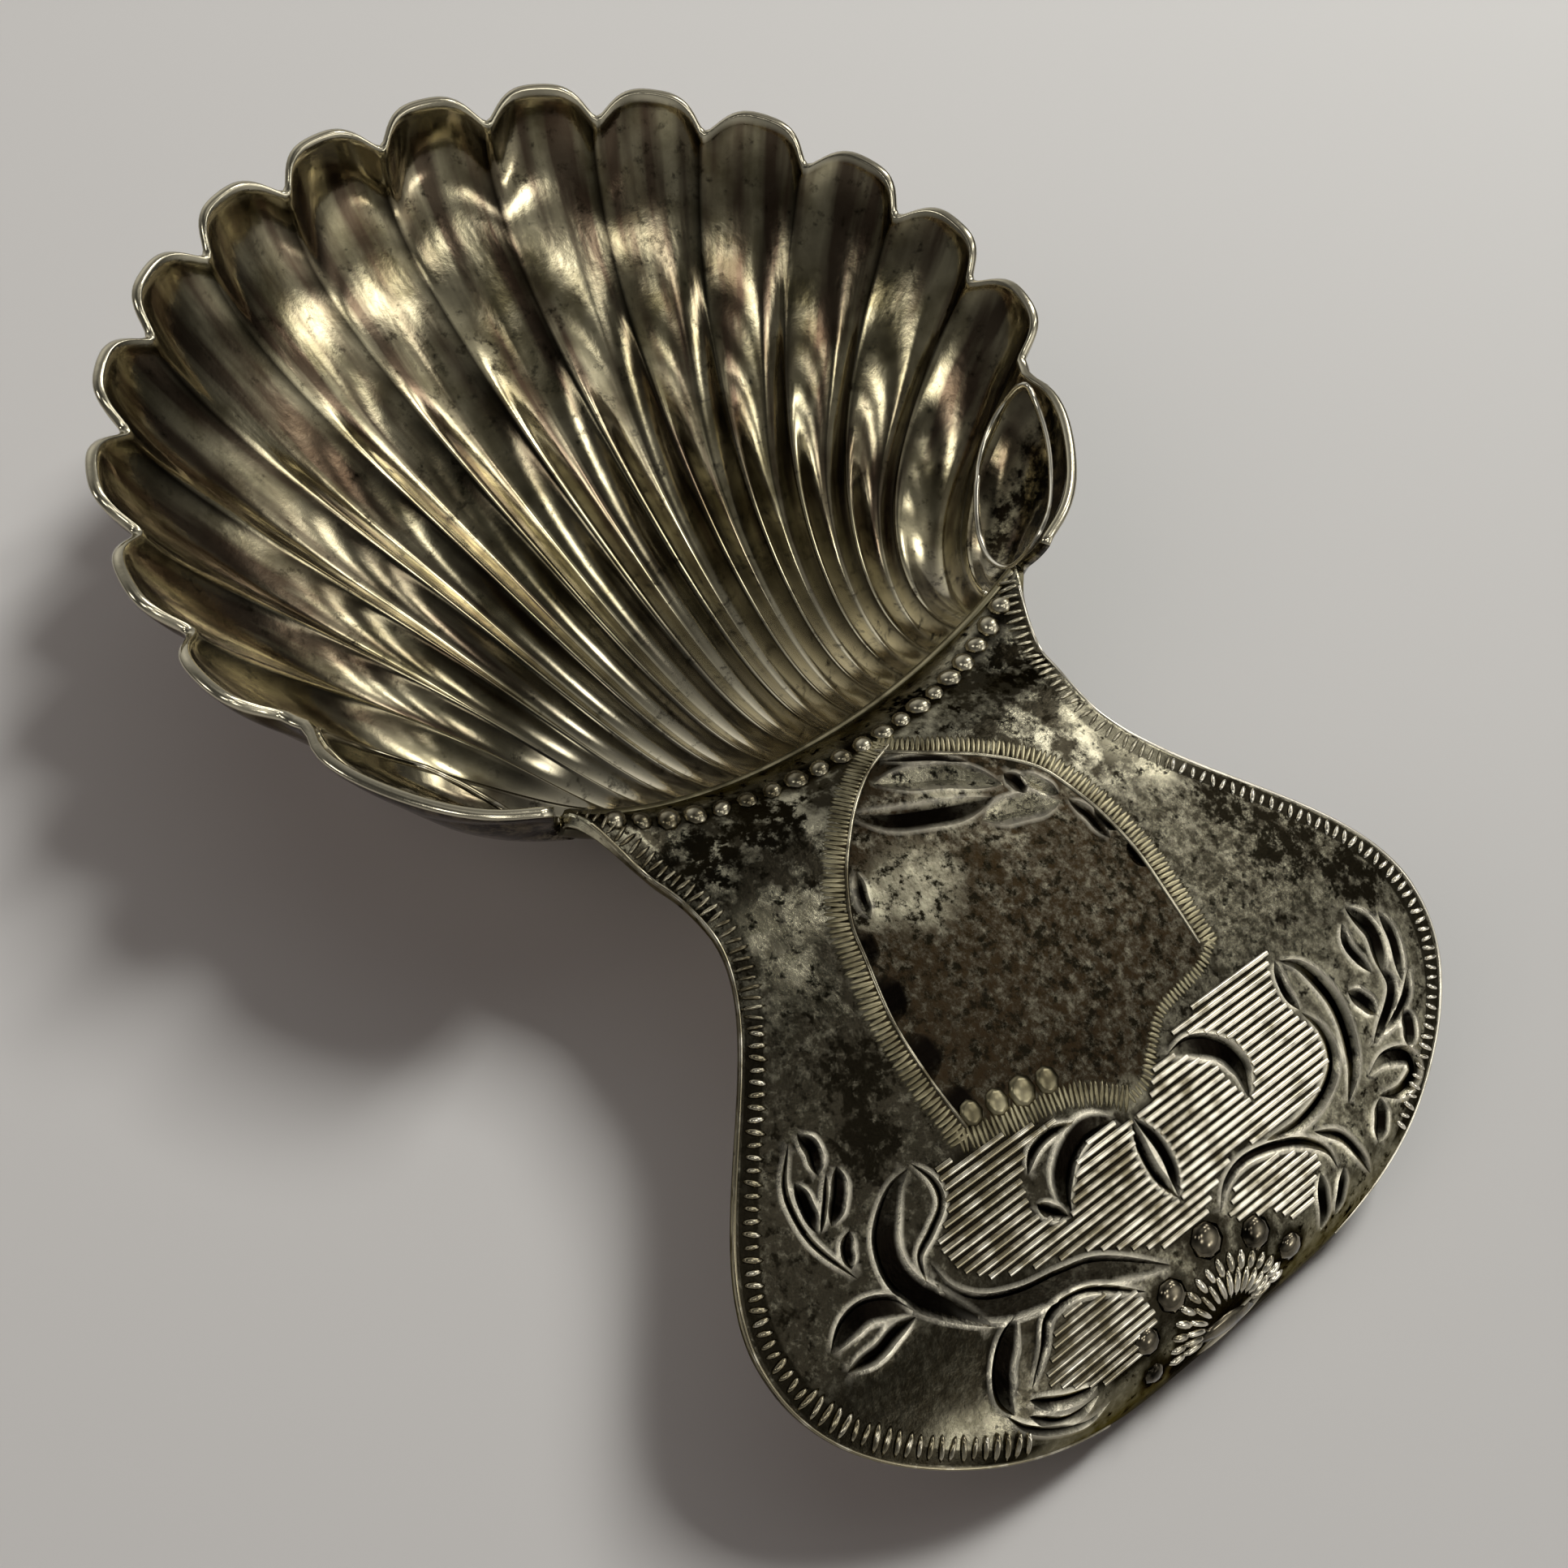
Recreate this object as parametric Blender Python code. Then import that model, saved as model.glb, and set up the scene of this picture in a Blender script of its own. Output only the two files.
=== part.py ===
"""Caddy spoon: a fluted shell bowl with an arched sheet handle soldered behind it.

X runs along the spoon towards the handle, Y across it and Z up. The origin is below the
middle of the spoon's box, on the surface that the spoon rests on. Lengths are in metres.
"""

import math

import bpy
import numpy as np

# Shell bowl: plan
RIM_RADIUS = 0.0210
LOBE_COUNT = 14
LOBE_REACH = 0.00118
LOBE_RISE = 0.00105
EAR_REACH = 0.00088
EAR_RISE = 0.00035
EAR_NOTCH_ANGLE = math.radians(70.3)
JOINT_ANGLE = math.radians(38.4)
CORNER_INSET = 0.0007
JOINT_BOW = 0.0012
FLUTE_SWEEP = 0.0026

# Shell bowl: depth and sheet
FLOOR_DEPTH = 0.00935
FLOOR_FALL = 0.115
BOWL_SHEET = 0.0005
LIP_WIDTH = 0.0008
WEAR_DEPTH = 0.00018

# Handle: arcs along its middle line, as length and slope at the end of each
JOINT_SLOPE = math.radians(74.0)
NECK_LENGTH = 0.00704
NECK_SLOPE = math.radians(8.0)
CREST_LENGTH = 0.00567
CREST_SLOPE = math.radians(-4.0)
PLATE_LENGTH = 0.01155
PLATE_SLOPE = math.radians(-20.0)
FALL_LENGTH = 0.0068
FALL_SLOPE = math.radians(-30.0)
CURL_LENGTH = 0.00485
CURL_SLOPE = math.radians(-86.0)

# Handle: half widths, where they lie along the middle line, and sheet
WAIST_HALF_WIDTH = 0.0104
WAIST_AT = 0.0086
WING_HALF_WIDTH = 0.0180
WING_AT = 0.0234
TIP_HALF_WIDTH = 0.0037
HANDLE_CROWN = 0.0003
HANDLE_SHEET = 0.0006

# Joint
SOLDER_RADIUS = 0.00045
JOINT_GAP = 0.0003

# Facets
FLUTE_STEPS = 6
FAN_STEPS = 20
HANDLE_STEPS_ALONG = 36
HANDLE_STEPS_ACROSS = 22
SOLDER_STEPS = 40


def ease(low, high, value):
    """Rise smoothly from 0 at low to 1 at high."""
    t = np.clip((value - low) / (high - low), 0.0, 1.0)
    return t * t * (3.0 - 2.0 * t)


def unit(vectors):
    return vectors / np.linalg.norm(vectors, axis=-1, keepdims=True)


def floor_height(x):
    """Height of the bowl's middle line below the rim plane: a long floor that falls
    towards the heel, with a steep wall at the front and a rounder one at the heel."""
    share = x / RIM_RADIUS
    front = np.maximum(1.0 - np.maximum(-share, 0.0) ** 2.2, 0.0) ** 0.27
    heel = np.maximum(1.0 - np.maximum(share, 0.0) ** 7.0, 0.0) ** 2.3
    return -(FLOOR_DEPTH + FLOOR_FALL * x) * front * heel


def dish_height(x, y):
    """Height of the bowl without its flutes, at the level of the ridges."""
    half_width = np.sqrt(np.maximum(RIM_RADIUS ** 2 - x ** 2, 1e-12))
    side = np.clip(np.abs(y) / half_width, 0.0, 1.0)
    return floor_height(x) * (1.0 - side ** 2.2) ** 0.7


def dish_normal(x, y):
    """Unit normal of the dish that points away from the bowl's hollow."""
    step = 0.00025
    reach = (RIM_RADIUS - 1.6 * step) / np.maximum(np.hypot(x, y), 1e-9)
    x, y = x * np.minimum(reach, 1.0), y * np.minimum(reach, 1.0)
    slope_x = (dish_height(x + step, y) - dish_height(x - step, y)) / (2.0 * step)
    slope_y = (dish_height(x, y + step) - dish_height(x, y - step)) / (2.0 * step)
    steepest = 4.0 / np.maximum(np.hypot(slope_x, slope_y), 1e-9)
    limit = np.minimum(steepest, 1.0)
    return unit(np.stack([slope_x * limit, slope_y * limit, -np.ones_like(slope_x)], axis=-1))


def joint_point(across):
    """Plan point on the joint of bowl and handle; across runs from -1 to 1."""
    corner_x = (RIM_RADIUS - CORNER_INSET) * math.cos(JOINT_ANGLE)
    corner_y = (RIM_RADIUS - CORNER_INSET) * math.sin(JOINT_ANGLE)
    return corner_x + JOINT_BOW * (1.0 - across ** 2), corner_y * across


def fan_point(place, along):
    """Plan point on one line of the fan. Place counts flutes from the right corner of the
    joint, with an ear at each end; along runs from the joint to the rim."""
    half = LOBE_COUNT / 2.0
    side = np.where(place > half + 1.0, -1.0, 1.0)
    count = half + 1.0 - np.abs(place - half - 1.0)
    ear_angle = JOINT_ANGLE + (EAR_NOTCH_ANGLE - JOINT_ANGLE) * count
    lobe_angle = EAR_NOTCH_ANGLE + (math.pi - EAR_NOTCH_ANGLE) * (count - 1.0) / half
    angle = np.where(count < 1.0, ear_angle, lobe_angle)
    rim_x, rim_y = RIM_RADIUS * np.cos(angle), RIM_RADIUS * np.sin(angle)
    across = 1.0 - count / (half + 1.0)
    heel_x, heel_y = joint_point(across)
    sweep = FLUTE_SWEEP * np.sin(angle) ** 1.5 * np.clip(4.0 * (1.0 - across), 0.0, 1.0)
    chord_x, chord_y = rim_x - heel_x, rim_y - heel_y
    length = np.hypot(chord_x, chord_y)
    bend_x = (rim_x + heel_x) / 2.0 - 2.0 * sweep * chord_y / length
    bend_y = (rim_y + heel_y) / 2.0 + 2.0 * sweep * chord_x / length
    near, mid, far = (1.0 - along) ** 2, 2.0 * along * (1.0 - along), along ** 2
    x = near * heel_x + mid * bend_x + far * rim_x
    y = near * heel_y + mid * bend_y + far * rim_y
    return x, side * y


def bowl_surface(place, along, depth):
    """Point of the fluted bowl, depth behind its inner face."""
    x, y = fan_point(place, along)
    radial = unit(np.stack([x, y, np.zeros_like(x)], axis=-1))
    upright = ease(0.8, 1.0, along)[..., None]
    normal = unit(dish_normal(x, y) * (1.0 - upright) + radial * upright)
    is_ear = (place < 1.0) | (place > LOBE_COUNT + 1.0)
    hollow = 1.0 - np.abs(2.0 * (place - np.floor(place)) - 1.0) ** 2.6
    reach = np.where(is_ear, EAR_REACH, LOBE_REACH) * hollow
    lip = ease(0.0, LIP_WIDTH / RIM_RADIUS, along)
    bulge = reach * (0.2 + 0.8 * along) * lip
    rise = np.where(is_ear, EAR_RISE, LOBE_RISE) * hollow * ease(0.72, 1.0, along)
    points = np.stack([x, y, dish_height(x, y)], axis=-1) + normal * (bulge + depth)[..., None]
    points[..., 2] += rise
    return points


def even_rows(place):
    """Shares along each fan line that space the rows evenly over its length."""
    fine = 1.0 - (1.0 - np.linspace(0.0, 1.0, 240)) ** 2
    places, shares = np.meshgrid(place, fine, indexing="ij")
    line = bowl_surface(places, shares, np.zeros_like(places))
    length = np.cumsum(np.linalg.norm(np.diff(line, axis=1), axis=-1), axis=1)
    rows = []
    for run in length:
        rows.append(np.interp(np.linspace(0.0, run[-1], FAN_STEPS + 1), np.append(0.0, run), fine))
    return np.array(rows)


def bowl_grids():
    """Inner and outer grids of the bowl, the outer one worn flat where it rests."""
    columns = (LOBE_COUNT + 2) * FLUTE_STEPS
    place = np.linspace(LOBE_COUNT + 2.0, 0.0, columns + 1)
    along = even_rows(place)
    places = np.repeat(place[:, None], FAN_STEPS + 1, axis=1)
    inner = bowl_surface(places, along, np.zeros_like(places))
    outer = bowl_surface(places, along, np.full_like(places, BOWL_SHEET))
    rest = outer[..., 2].min() + WEAR_DEPTH
    outer[..., 2] = np.maximum(outer[..., 2], rest)
    return inner, outer, rest


def middle_line(distance):
    """X and Z of the handle's middle line at a distance from the joint."""
    arcs = (
        (NECK_LENGTH, NECK_SLOPE),
        (CREST_LENGTH, CREST_SLOPE),
        (PLATE_LENGTH, PLATE_SLOPE),
        (FALL_LENGTH, FALL_SLOPE),
        (CURL_LENGTH, CURL_SLOPE),
    )
    start_x, _ = joint_point(0.0)
    x = np.full_like(distance, start_x)
    z = np.full_like(distance, dish_height(np.array(start_x), np.array(0.0)))
    slope, passed = JOINT_SLOPE, 0.0
    for length, end_slope in arcs:
        run = np.clip(distance - passed, 0.0, length)
        turn = (end_slope - slope) / length
        x = x + (np.sin(slope + turn * run) - math.sin(slope)) / turn
        z = z - (np.cos(slope + turn * run) - math.cos(slope)) / turn
        slope, passed = end_slope, passed + length
    return x, z


def handle_length():
    return NECK_LENGTH + CREST_LENGTH + PLATE_LENGTH + FALL_LENGTH + CURL_LENGTH


def half_width(distance):
    """Half width of the handle: in from the joint to a waist, out to wings, in to the tip."""
    _, joint_half_width = joint_point(1.0)
    to_waist = np.clip(1.0 - distance / WAIST_AT, 0.0, 1.0)
    to_tip = np.clip((distance - WING_AT) / (handle_length() - WING_AT), 0.0, 1.0)
    waist = WAIST_HALF_WIDTH + (joint_half_width - WAIST_HALF_WIDTH) * to_waist ** 1.7
    wing = (WING_HALF_WIDTH - WAIST_HALF_WIDTH) * ease(WAIST_AT, WING_AT, distance)
    return waist + wing - (WING_HALF_WIDTH - TIP_HALF_WIDTH) * to_tip ** 2.2


def handle_surface(distance, across):
    """Point of the handle's upper face. The sheet is dished like the heel at the joint and
    flattens out over the neck."""
    x, z = middle_line(distance)
    dished = 1.0 - ease(0.0, 0.78 * NECK_LENGTH, distance)
    heel_x, heel_y = joint_point(across)
    middle_x, _ = joint_point(0.0)
    middle_z = dish_height(np.array(middle_x), np.array(0.0))
    x = x + (heel_x - middle_x) * dished
    crown = -HANDLE_CROWN * across ** 2 * (1.0 - dished)
    z = z + crown + (dish_height(heel_x, heel_y) - middle_z) * dished
    return np.stack([x, half_width(distance) * across, z], axis=-1)


def handle_grids():
    """Upper and lower grids of the handle."""
    across = np.linspace(1.0, -1.0, HANDLE_STEPS_ACROSS + 1)
    distance = np.linspace(JOINT_GAP, handle_length(), HANDLE_STEPS_ALONG + 1)
    across, distance = np.meshgrid(across, distance, indexing="ij")
    upper = handle_surface(distance, across)
    normal = unit(np.cross(np.gradient(upper, axis=0), np.gradient(upper, axis=1)))
    return upper, upper - normal * HANDLE_SHEET


def solder_path():
    """Middle line of the solder bead behind the joint, clear of both sheets."""
    across = np.linspace(-0.93, 0.93, SOLDER_STEPS + 1)
    x, y = joint_point(across)
    behind = max(BOWL_SHEET, HANDLE_SHEET) + JOINT_GAP + SOLDER_RADIUS
    return np.stack([x, y, dish_height(x, y)], axis=-1) + dish_normal(x, y) * behind


def silver(name, colour, roughness):
    material = bpy.data.materials.new(name)
    material.use_nodes = True
    shader = material.node_tree.nodes["Principled BSDF"]
    shader.inputs["Base Color"].default_value = (*colour, 1.0)
    shader.inputs["Metallic"].default_value = 1.0
    shader.inputs["Roughness"].default_value = roughness
    return material


def sheet_object(name, upper, lower, material):
    """Closed sheet between two grids of points, joined by a strip round the border."""
    columns, rows = upper.shape[:2]
    index = np.arange(columns * rows).reshape(columns, rows)
    under = index + columns * rows
    faces = []
    for i in range(columns - 1):
        for j in range(rows - 1):
            corners = ((i, j), (i + 1, j), (i + 1, j + 1), (i, j + 1))
            faces.append([int(index[c]) for c in corners])
            faces.append([int(under[c]) for c in reversed(corners)])
    border = [(i, 0) for i in range(columns)]
    border += [(columns - 1, j) for j in range(1, rows)]
    border += [(i, rows - 1) for i in range(columns - 2, -1, -1)]
    border += [(0, j) for j in range(rows - 2, 0, -1)]
    for here, there in zip(border, border[1:] + border[:1]):
        faces.append([int(under[here]), int(under[there]), int(index[there]), int(index[here])])
    points = np.concatenate([upper.reshape(-1, 3), lower.reshape(-1, 3)])
    mesh = bpy.data.meshes.new(name)
    mesh.from_pydata(points.tolist(), [], faces)
    mesh.shade_smooth()
    mesh.set_sharp_from_angle(angle=math.radians(40.0))
    mesh.materials.append(material)
    return add_object(name, mesh)


def bead_object(name, path, radius, material):
    """Round bead along a path, with filled ends."""
    curve = bpy.data.curves.new(name, "CURVE")
    curve.dimensions = "3D"
    curve.bevel_depth = radius
    curve.bevel_resolution = 2
    curve.use_fill_caps = True
    spline = curve.splines.new("POLY")
    spline.points.add(len(path) - 1)
    for point, place in zip(spline.points, path):
        point.co = (*place, 1.0)
    curve.materials.append(material)
    return add_object(name, curve)


def add_object(name, data):
    added = bpy.data.objects.new(name, data)
    bpy.context.scene.collection.objects.link(added)
    return added


def main():
    for old in list(bpy.data.objects):
        bpy.data.objects.remove(old, do_unlink=True)
    inner, outer, rest = bowl_grids()
    upper, lower = handle_grids()
    length_ends = (outer[..., 0].min(), max(upper[..., 0].max(), lower[..., 0].max()))
    origin = np.array([sum(length_ends) / 2.0, 0.0, rest])
    bowl_silver = silver("bowl_silver", (0.62, 0.57, 0.45), 0.22)
    handle_silver = silver("handle_silver", (0.66, 0.64, 0.58), 0.30)
    solder_silver = silver("solder_silver", (0.60, 0.58, 0.52), 0.40)
    sheet_object("shell_bowl", inner - origin, outer - origin, bowl_silver)
    sheet_object("handle", upper - origin, lower - origin, handle_silver)
    bead_object("solder_seam", solder_path() - origin, SOLDER_RADIUS, solder_silver)


main()
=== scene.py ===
import math
from functools import partial

import bpy
import numpy as np
from mathutils import Matrix, Vector
from mathutils.bvhtree import BVHTree
from mathutils.geometry import delaunay_2d_cdt


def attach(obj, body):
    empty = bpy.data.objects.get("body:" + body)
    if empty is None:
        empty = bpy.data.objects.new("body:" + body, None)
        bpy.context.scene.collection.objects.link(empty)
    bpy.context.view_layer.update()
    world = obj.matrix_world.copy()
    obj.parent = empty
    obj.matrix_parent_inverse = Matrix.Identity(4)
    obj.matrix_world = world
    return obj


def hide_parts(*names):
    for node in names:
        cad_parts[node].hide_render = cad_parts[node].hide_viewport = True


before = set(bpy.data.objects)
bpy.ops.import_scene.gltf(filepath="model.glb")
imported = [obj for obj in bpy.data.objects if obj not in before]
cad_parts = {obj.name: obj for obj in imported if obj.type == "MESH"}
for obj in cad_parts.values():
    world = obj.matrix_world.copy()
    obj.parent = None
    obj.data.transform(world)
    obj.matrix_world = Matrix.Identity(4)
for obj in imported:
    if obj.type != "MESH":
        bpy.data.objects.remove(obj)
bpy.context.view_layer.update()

# Caddy spoon of old silver: a fluted shell bowl and an engraved sheet handle.
# X runs along the spoon towards the handle's end, Y across it, Z up. Lengths are in metres.
MM = 0.001

# The frame's origin, on the table below the middle of the spoon, seen from the middle of the rim circle
FRAME_ORIGIN = np.array((12.578, 0.0, -11.084)) * MM

# Kinds of nodes that are used often. A Mix node's numbers go in its inputs 2 and 3, colours in 6 and 7.
MATH = "ShaderNodeMath"
VECTOR = "ShaderNodeVectorMath"
RANGE = "ShaderNodeMapRange"
MIX = "ShaderNodeMix"
NOISE = "ShaderNodeTexNoise"
COMBINE = "ShaderNodeCombineXYZ"
STORED = "GeometryNodeInputNamedAttribute"
ATTRIBUTE = "ShaderNodeAttribute"

# Shell bowl: plan, with its centre at the middle of the rim circle
RIM_RADIUS = 21.0 * MM
LOBE_COUNT = 14
EAR_NOTCH_ANGLE = math.radians(70.3)
JOINT_ANGLE = math.radians(38.4)
CORNER_INSET = 0.7 * MM
JOINT_BOW = 1.2 * MM
FLUTE_SWEEP = 2.6 * MM
SWEEP_POWER = 1.5
SWEEP_ONSET = 4.0

# Shell bowl: depth, the roundness of its front, heel and sides, and sheet
FLOOR_DEPTH = 9.42 * MM
FLOOR_FALL = 0.115
LEVEL_REACH = 5.0 * MM
FRONT_POWER = 2.2
FRONT_ROUND = 0.27
HEEL_POWER = 4.5404
SIDE_POWER = 2.2
SIDE_ROUND = 0.7
NORMAL_STEP = 0.25 * MM
STEEPEST = 4.0
BOWL_SHEET = 0.5 * MM
RIM_ROUND = 0.10 * MM
FLUTE_STEPS = 24
FAN_STEPS = 88

# Stamped flutes: the inputs of their tree, as lengths and as shares of a flute or of the way to the rim
FLUTE_SIZES = {
    "Lobe count": float(LOBE_COUNT),
    "Lobe reach": 1.18 * MM,
    "Lobe rise": 1.05 * MM,
    "Ear reach": 0.88 * MM,
    "Ear rise": 0.35 * MM,
    "Roundness": 2.0,
    "Rim roundness": 3.8,
    "Rim from": 0.88,
    "Crest round": 0.14,
    "Heel share": 0.48,
    "Wall share": 0.30,
    "Lip share": 0.18 * MM / RIM_RADIUS,
    "Rise from": 0.40,
    "Ear ridge at": 0.90,
    "Ear ridge width": 0.055,
    "Ear ridge height": 0.52 * MM,
    "Ear ridge end": 1.4,
}
EAR_BEAD_RADIUS = 20.0 * MM
EAR_BEAD_LENGTH = 9.0 * MM
EAR_BEAD_WIDTH = 3.0 * MM
EAR_BEAD_THICKNESS = 0.36 * MM
ABOVE_SPOON = 30.0 * MM

# Handle: arcs along its middle line, as length and slope at the end of each
JOINT_SLOPE = math.radians(74.0)
HANDLE_ARCS = (
    (7.04 * MM, math.radians(8.0)),
    (5.67 * MM, math.radians(-4.0)),
    (11.55 * MM, math.radians(-20.0)),
    (6.80 * MM, math.radians(-30.0)),
    (4.85 * MM, math.radians(-86.0)),
)
NECK_LENGTH = HANDLE_ARCS[0][0]
HANDLE_LENGTH = sum(length for length, slope in HANDLE_ARCS)

# Handle: half widths, where they lie along the middle line, and sheet
WAIST_HALF_WIDTH = 10.4 * MM
WAIST_AT = 8.6 * MM
WING_HALF_WIDTH = 18.0 * MM
WING_AT = 23.4 * MM
TIP_HALF_WIDTH = 3.7 * MM
HANDLE_CROWN = 0.3 * MM
HANDLE_SHEET = 0.6 * MM
EDGE_ROUND = 0.14 * MM
WAIST_POWER = 1.7
TIP_POWER = 2.2
DISHED_SHARE = 0.78

# Engraving, laid out on the handle as (millimetres along from the joint, millimetres across)
# A cut has a deep line, a facet width to its left and to its right, and a depth, in millimetres.
SCROLL_CUTS = (
    # left scroll: outer sweep, curled head, lower sweep
    (((20.6, -9.3), (20.8, -10.2), (21.4, -11.1), (22.2, -11.8), (23.3, -12.1), (24.4, -11.9),
      (25.4, -11.3), (27.3, -9.6)), 0.85, 0.30, 0.22),
    (((20.5, -9.1), (21.5, -8.7), (22.4, -8.9), (23.0, -9.8), (23.5, -10.7), (24.4, -11.0)),
     0.16, 0.18, 0.10),
    (((23.9, -10.5), (25.2, -10.3), (26.3, -9.4), (27.0, -7.9), (27.4, -6.1), (28.0, -4.4),
      (29.9, -1.8)), 0.30, 0.85, 0.22, 0.55),
    # left lower scroll: dark crescent, ring and leaf in it
    (((27.5, -8.6), (28.0, -9.5), (28.8, -10.3), (29.8, -10.7), (30.6, -10.5)), 0.70, 0.28, 0.22),
    (((30.4, -10.8), (31.3, -10.3), (32.3, -9.2), (33.1, -7.8), (33.0, -6.6)), 0.18, 0.18, 0.10),
    (((30.2, -9.4), (29.3, -8.3), (28.4, -7.5), (28.3, -6.5), (28.7, -5.2), (30.1, -3.3)),
     0.22, 0.18, 0.12),
    (((30.5, -9.7), (31.2, -8.9), (31.7, -7.9), (31.9, -6.9)), 0.30, 0.30, 0.16),
    (((31.0, -10.0), (32.0, -9.1), (32.4, -8.1), (32.3, -7.0)), 0.28, 0.28, 0.14),
    # right scroll: outer sweep, curled head, inner sweep
    (((22.6, 9.7), (23.2, 10.5), (24.2, 11.0), (25.4, 11.2), (26.8, 11.0), (28.2, 10.4), (29.3, 9.2)),
     0.25, 0.60, 0.20),
    (((22.5, 9.5), (23.2, 9.2), (24.0, 9.1), (24.8, 9.3)), 0.30, 0.20, 0.15),
    (((24.9, 9.3), (25.9, 9.8), (26.9, 9.8), (27.8, 9.3), (28.5, 8.0), (28.7, 6.4), (28.3, 4.7)),
     0.22, 0.45, 0.18),
    # right lower scroll: ring, outer ring, dark crescent and leaf
    (((29.5, 1.2), (28.6, 2.1), (28.3, 3.3), (28.6, 4.8), (29.3, 6.3), (30.3, 7.2), (31.3, 7.3)),
     0.18, 0.30, 0.16),
    (((29.3, 7.0), (30.2, 8.1), (31.4, 8.6), (32.6, 8.9)), 0.25, 0.25, 0.14),
    (((30.9, 6.4), (31.7, 6.0), (32.6, 5.8), (33.4, 5.5)), 0.45, 0.25, 0.18),
    (((31.4, 7.6), (32.2, 7.1), (33.2, 6.5)), 0.30, 0.30, 0.16),
)
CRESCENT_CUTS = (
    (((22.9, -2.5), (22.7, -3.6), (22.9, -4.6), (23.5, -5.3)), 0.22, 0.22, 0.14),
    (((23.8, -0.8), (23.7, -2.2), (24.1, -3.3), (25.0, -4.2), (25.7, -4.5)), 0.15, 0.90, 0.20),
    (((24.6, -5.6), (25.2, -5.2), (25.7, -4.7)), 0.30, 0.30, 0.20),
    (((23.0, 2.6), (23.0, 3.8), (23.5, 4.8), (24.4, 5.5), (25.4, 5.6), (26.5, 5.0)), 0.22, 0.90, 0.20),
    # spear leaf on the middle line, with a rib between two cuts
    (((24.2, -0.2), (25.4, -0.45), (26.6, -0.45), (27.9, -0.1)), 0.28, 0.30, 0.20),
    (((24.2, -0.1), (25.4, 0.25), (26.6, 0.25), (27.9, -0.1)), 0.30, 0.28, 0.20),
)
# Dark strokes and long shallow facets under the top of the shield, nearly free of tarnish
SHIELD_STROKES = (
    (((5.9, 0.4), (6.5, 1.4), (7.3, 2.6), (8.2, 3.5)), 0.22, 0.22, 0.12),
    (((7.4, -2.5), (8.4, -0.9), (9.1, 0.6), (10.2, 3.2)), 0.30, 1.00, 0.20),
    (((9.5, 4.4), (10.1, 4.6), (10.8, 4.6)), 0.40, 0.40, 0.16),
    (((12.0, 6.0), (13.0, 6.4), (14.4, 6.4)), 0.25, 0.40, 0.14),
    (((9.8, -3.9), (10.8, -4.4), (11.8, -4.7)), 0.30, 0.30, 0.12),
)
SHIELD_FACETS = (
    (((6.8, -0.6), (7.6, 0.9), (8.5, 2.5), (9.9, 4.0)), 0.75, 0.60, 0.20),
    (((9.9, 5.0), (10.8, 5.4), (11.6, 5.8)), 0.40, 0.40, 0.14),
    (((10.8, 2.1), (11.3, 4.0), (11.9, 5.6)), 0.75, 0.60, 0.16),
)
LEAF_CUTS = (
    # left sprig
    (((17.2, -12.2), (18.0, -12.1), (18.9, -12.4)), 0.40, 0.30, 0.20),
    (((18.6, -13.3), (19.6, -13.5), (20.6, -13.6)), 0.40, 0.22, 0.20),
    (((19.0, -11.6), (19.8, -12.1), (20.7, -13.0)), 0.40, 0.30, 0.20),
    (((21.2, -12.5), (21.7, -13.0), (22.4, -13.2)), 0.32, 0.25, 0.16),
    (((17.3, -12.7), (18.5, -13.7), (19.7, -14.0), (21.0, -13.9), (22.8, -13.2)), 0.13, 0.13, 0.08),
    (((19.0, -12.1), (19.8, -12.7), (20.7, -13.5)), 0.12, 0.12, 0.08),
    # left single leaf
    (((25.1, -11.9), (24.2, -12.5), (23.7, -13.5), (23.8, -14.5), (24.4, -15.5)), 0.75, 0.25, 0.20),
    (((25.2, -12.0), (25.3, -13.0), (25.5, -14.0), (25.3, -15.3)), 0.20, 0.45, 0.16),
    # right sprig
    (((22.4, 14.1), (24.0, 14.6), (25.8, 14.0)), 0.50, 0.45, 0.22),
    (((22.9, 13.5), (23.9, 13.1), (25.4, 13.5)), 0.30, 0.25, 0.16),
    (((23.4, 15.5), (24.8, 15.4), (26.5, 14.7)), 0.35, 0.30, 0.18),
    (((25.2, 14.0), (26.3, 14.1), (27.1, 13.3), (28.0, 11.7)), 0.35, 0.30, 0.18),
    (((26.2, 15.4), (27.2, 14.3), (27.9, 12.4)), 0.28, 0.24, 0.14),
    (((25.4, 11.9), (26.2, 12.4), (27.0, 12.7)), 0.42, 0.42, 0.18),
    (((27.5, 14.1), (28.3, 13.9), (29.1, 13.4)), 0.45, 0.42, 0.18),
    (((30.0, 10.8), (30.8, 10.4), (31.6, 9.8)), 0.45, 0.45, 0.18),
    (((28.9, 10.7), (28.6, 12.0), (29.2, 13.3), (30.2, 13.2), (30.5, 12.0), (29.9, 10.8)),
     0.22, 0.62, 0.20),
    # dark heart of the flower at the turned-down end
    (((35.0, -1.9), (34.9, -0.3), (34.4, 1.1), (34.0, 2.1)), 0.55, 0.45, 0.20),
)
SHIELD_LEFT = (
    (4.9, 1.1), (5.6, -0.5), (6.7, -2.1), (8.0, -3.5), (9.5, -4.8), (11.3, -5.9), (13.0, -6.4),
    (15.6, -7.0), (18.2, -7.1), (20.9, -6.9),
)
SHIELD_RIGHT = (
    (4.9, 1.1), (5.6, 1.7), (6.6, 2.9), (7.6, 4.3), (8.8, 5.6), (10.0, 6.5), (11.5, 7.0), (13.3, 7.4),
    (15.4, 7.6), (17.7, 7.5), (20.3, 7.4),
)
SHIELD_FOOT_LEFT = (
    (20.9, -6.9), (21.2, -5.8), (21.5, -4.2), (21.9, -2.3), (22.5, -1.0), (23.4, 0.1),
)
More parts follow.
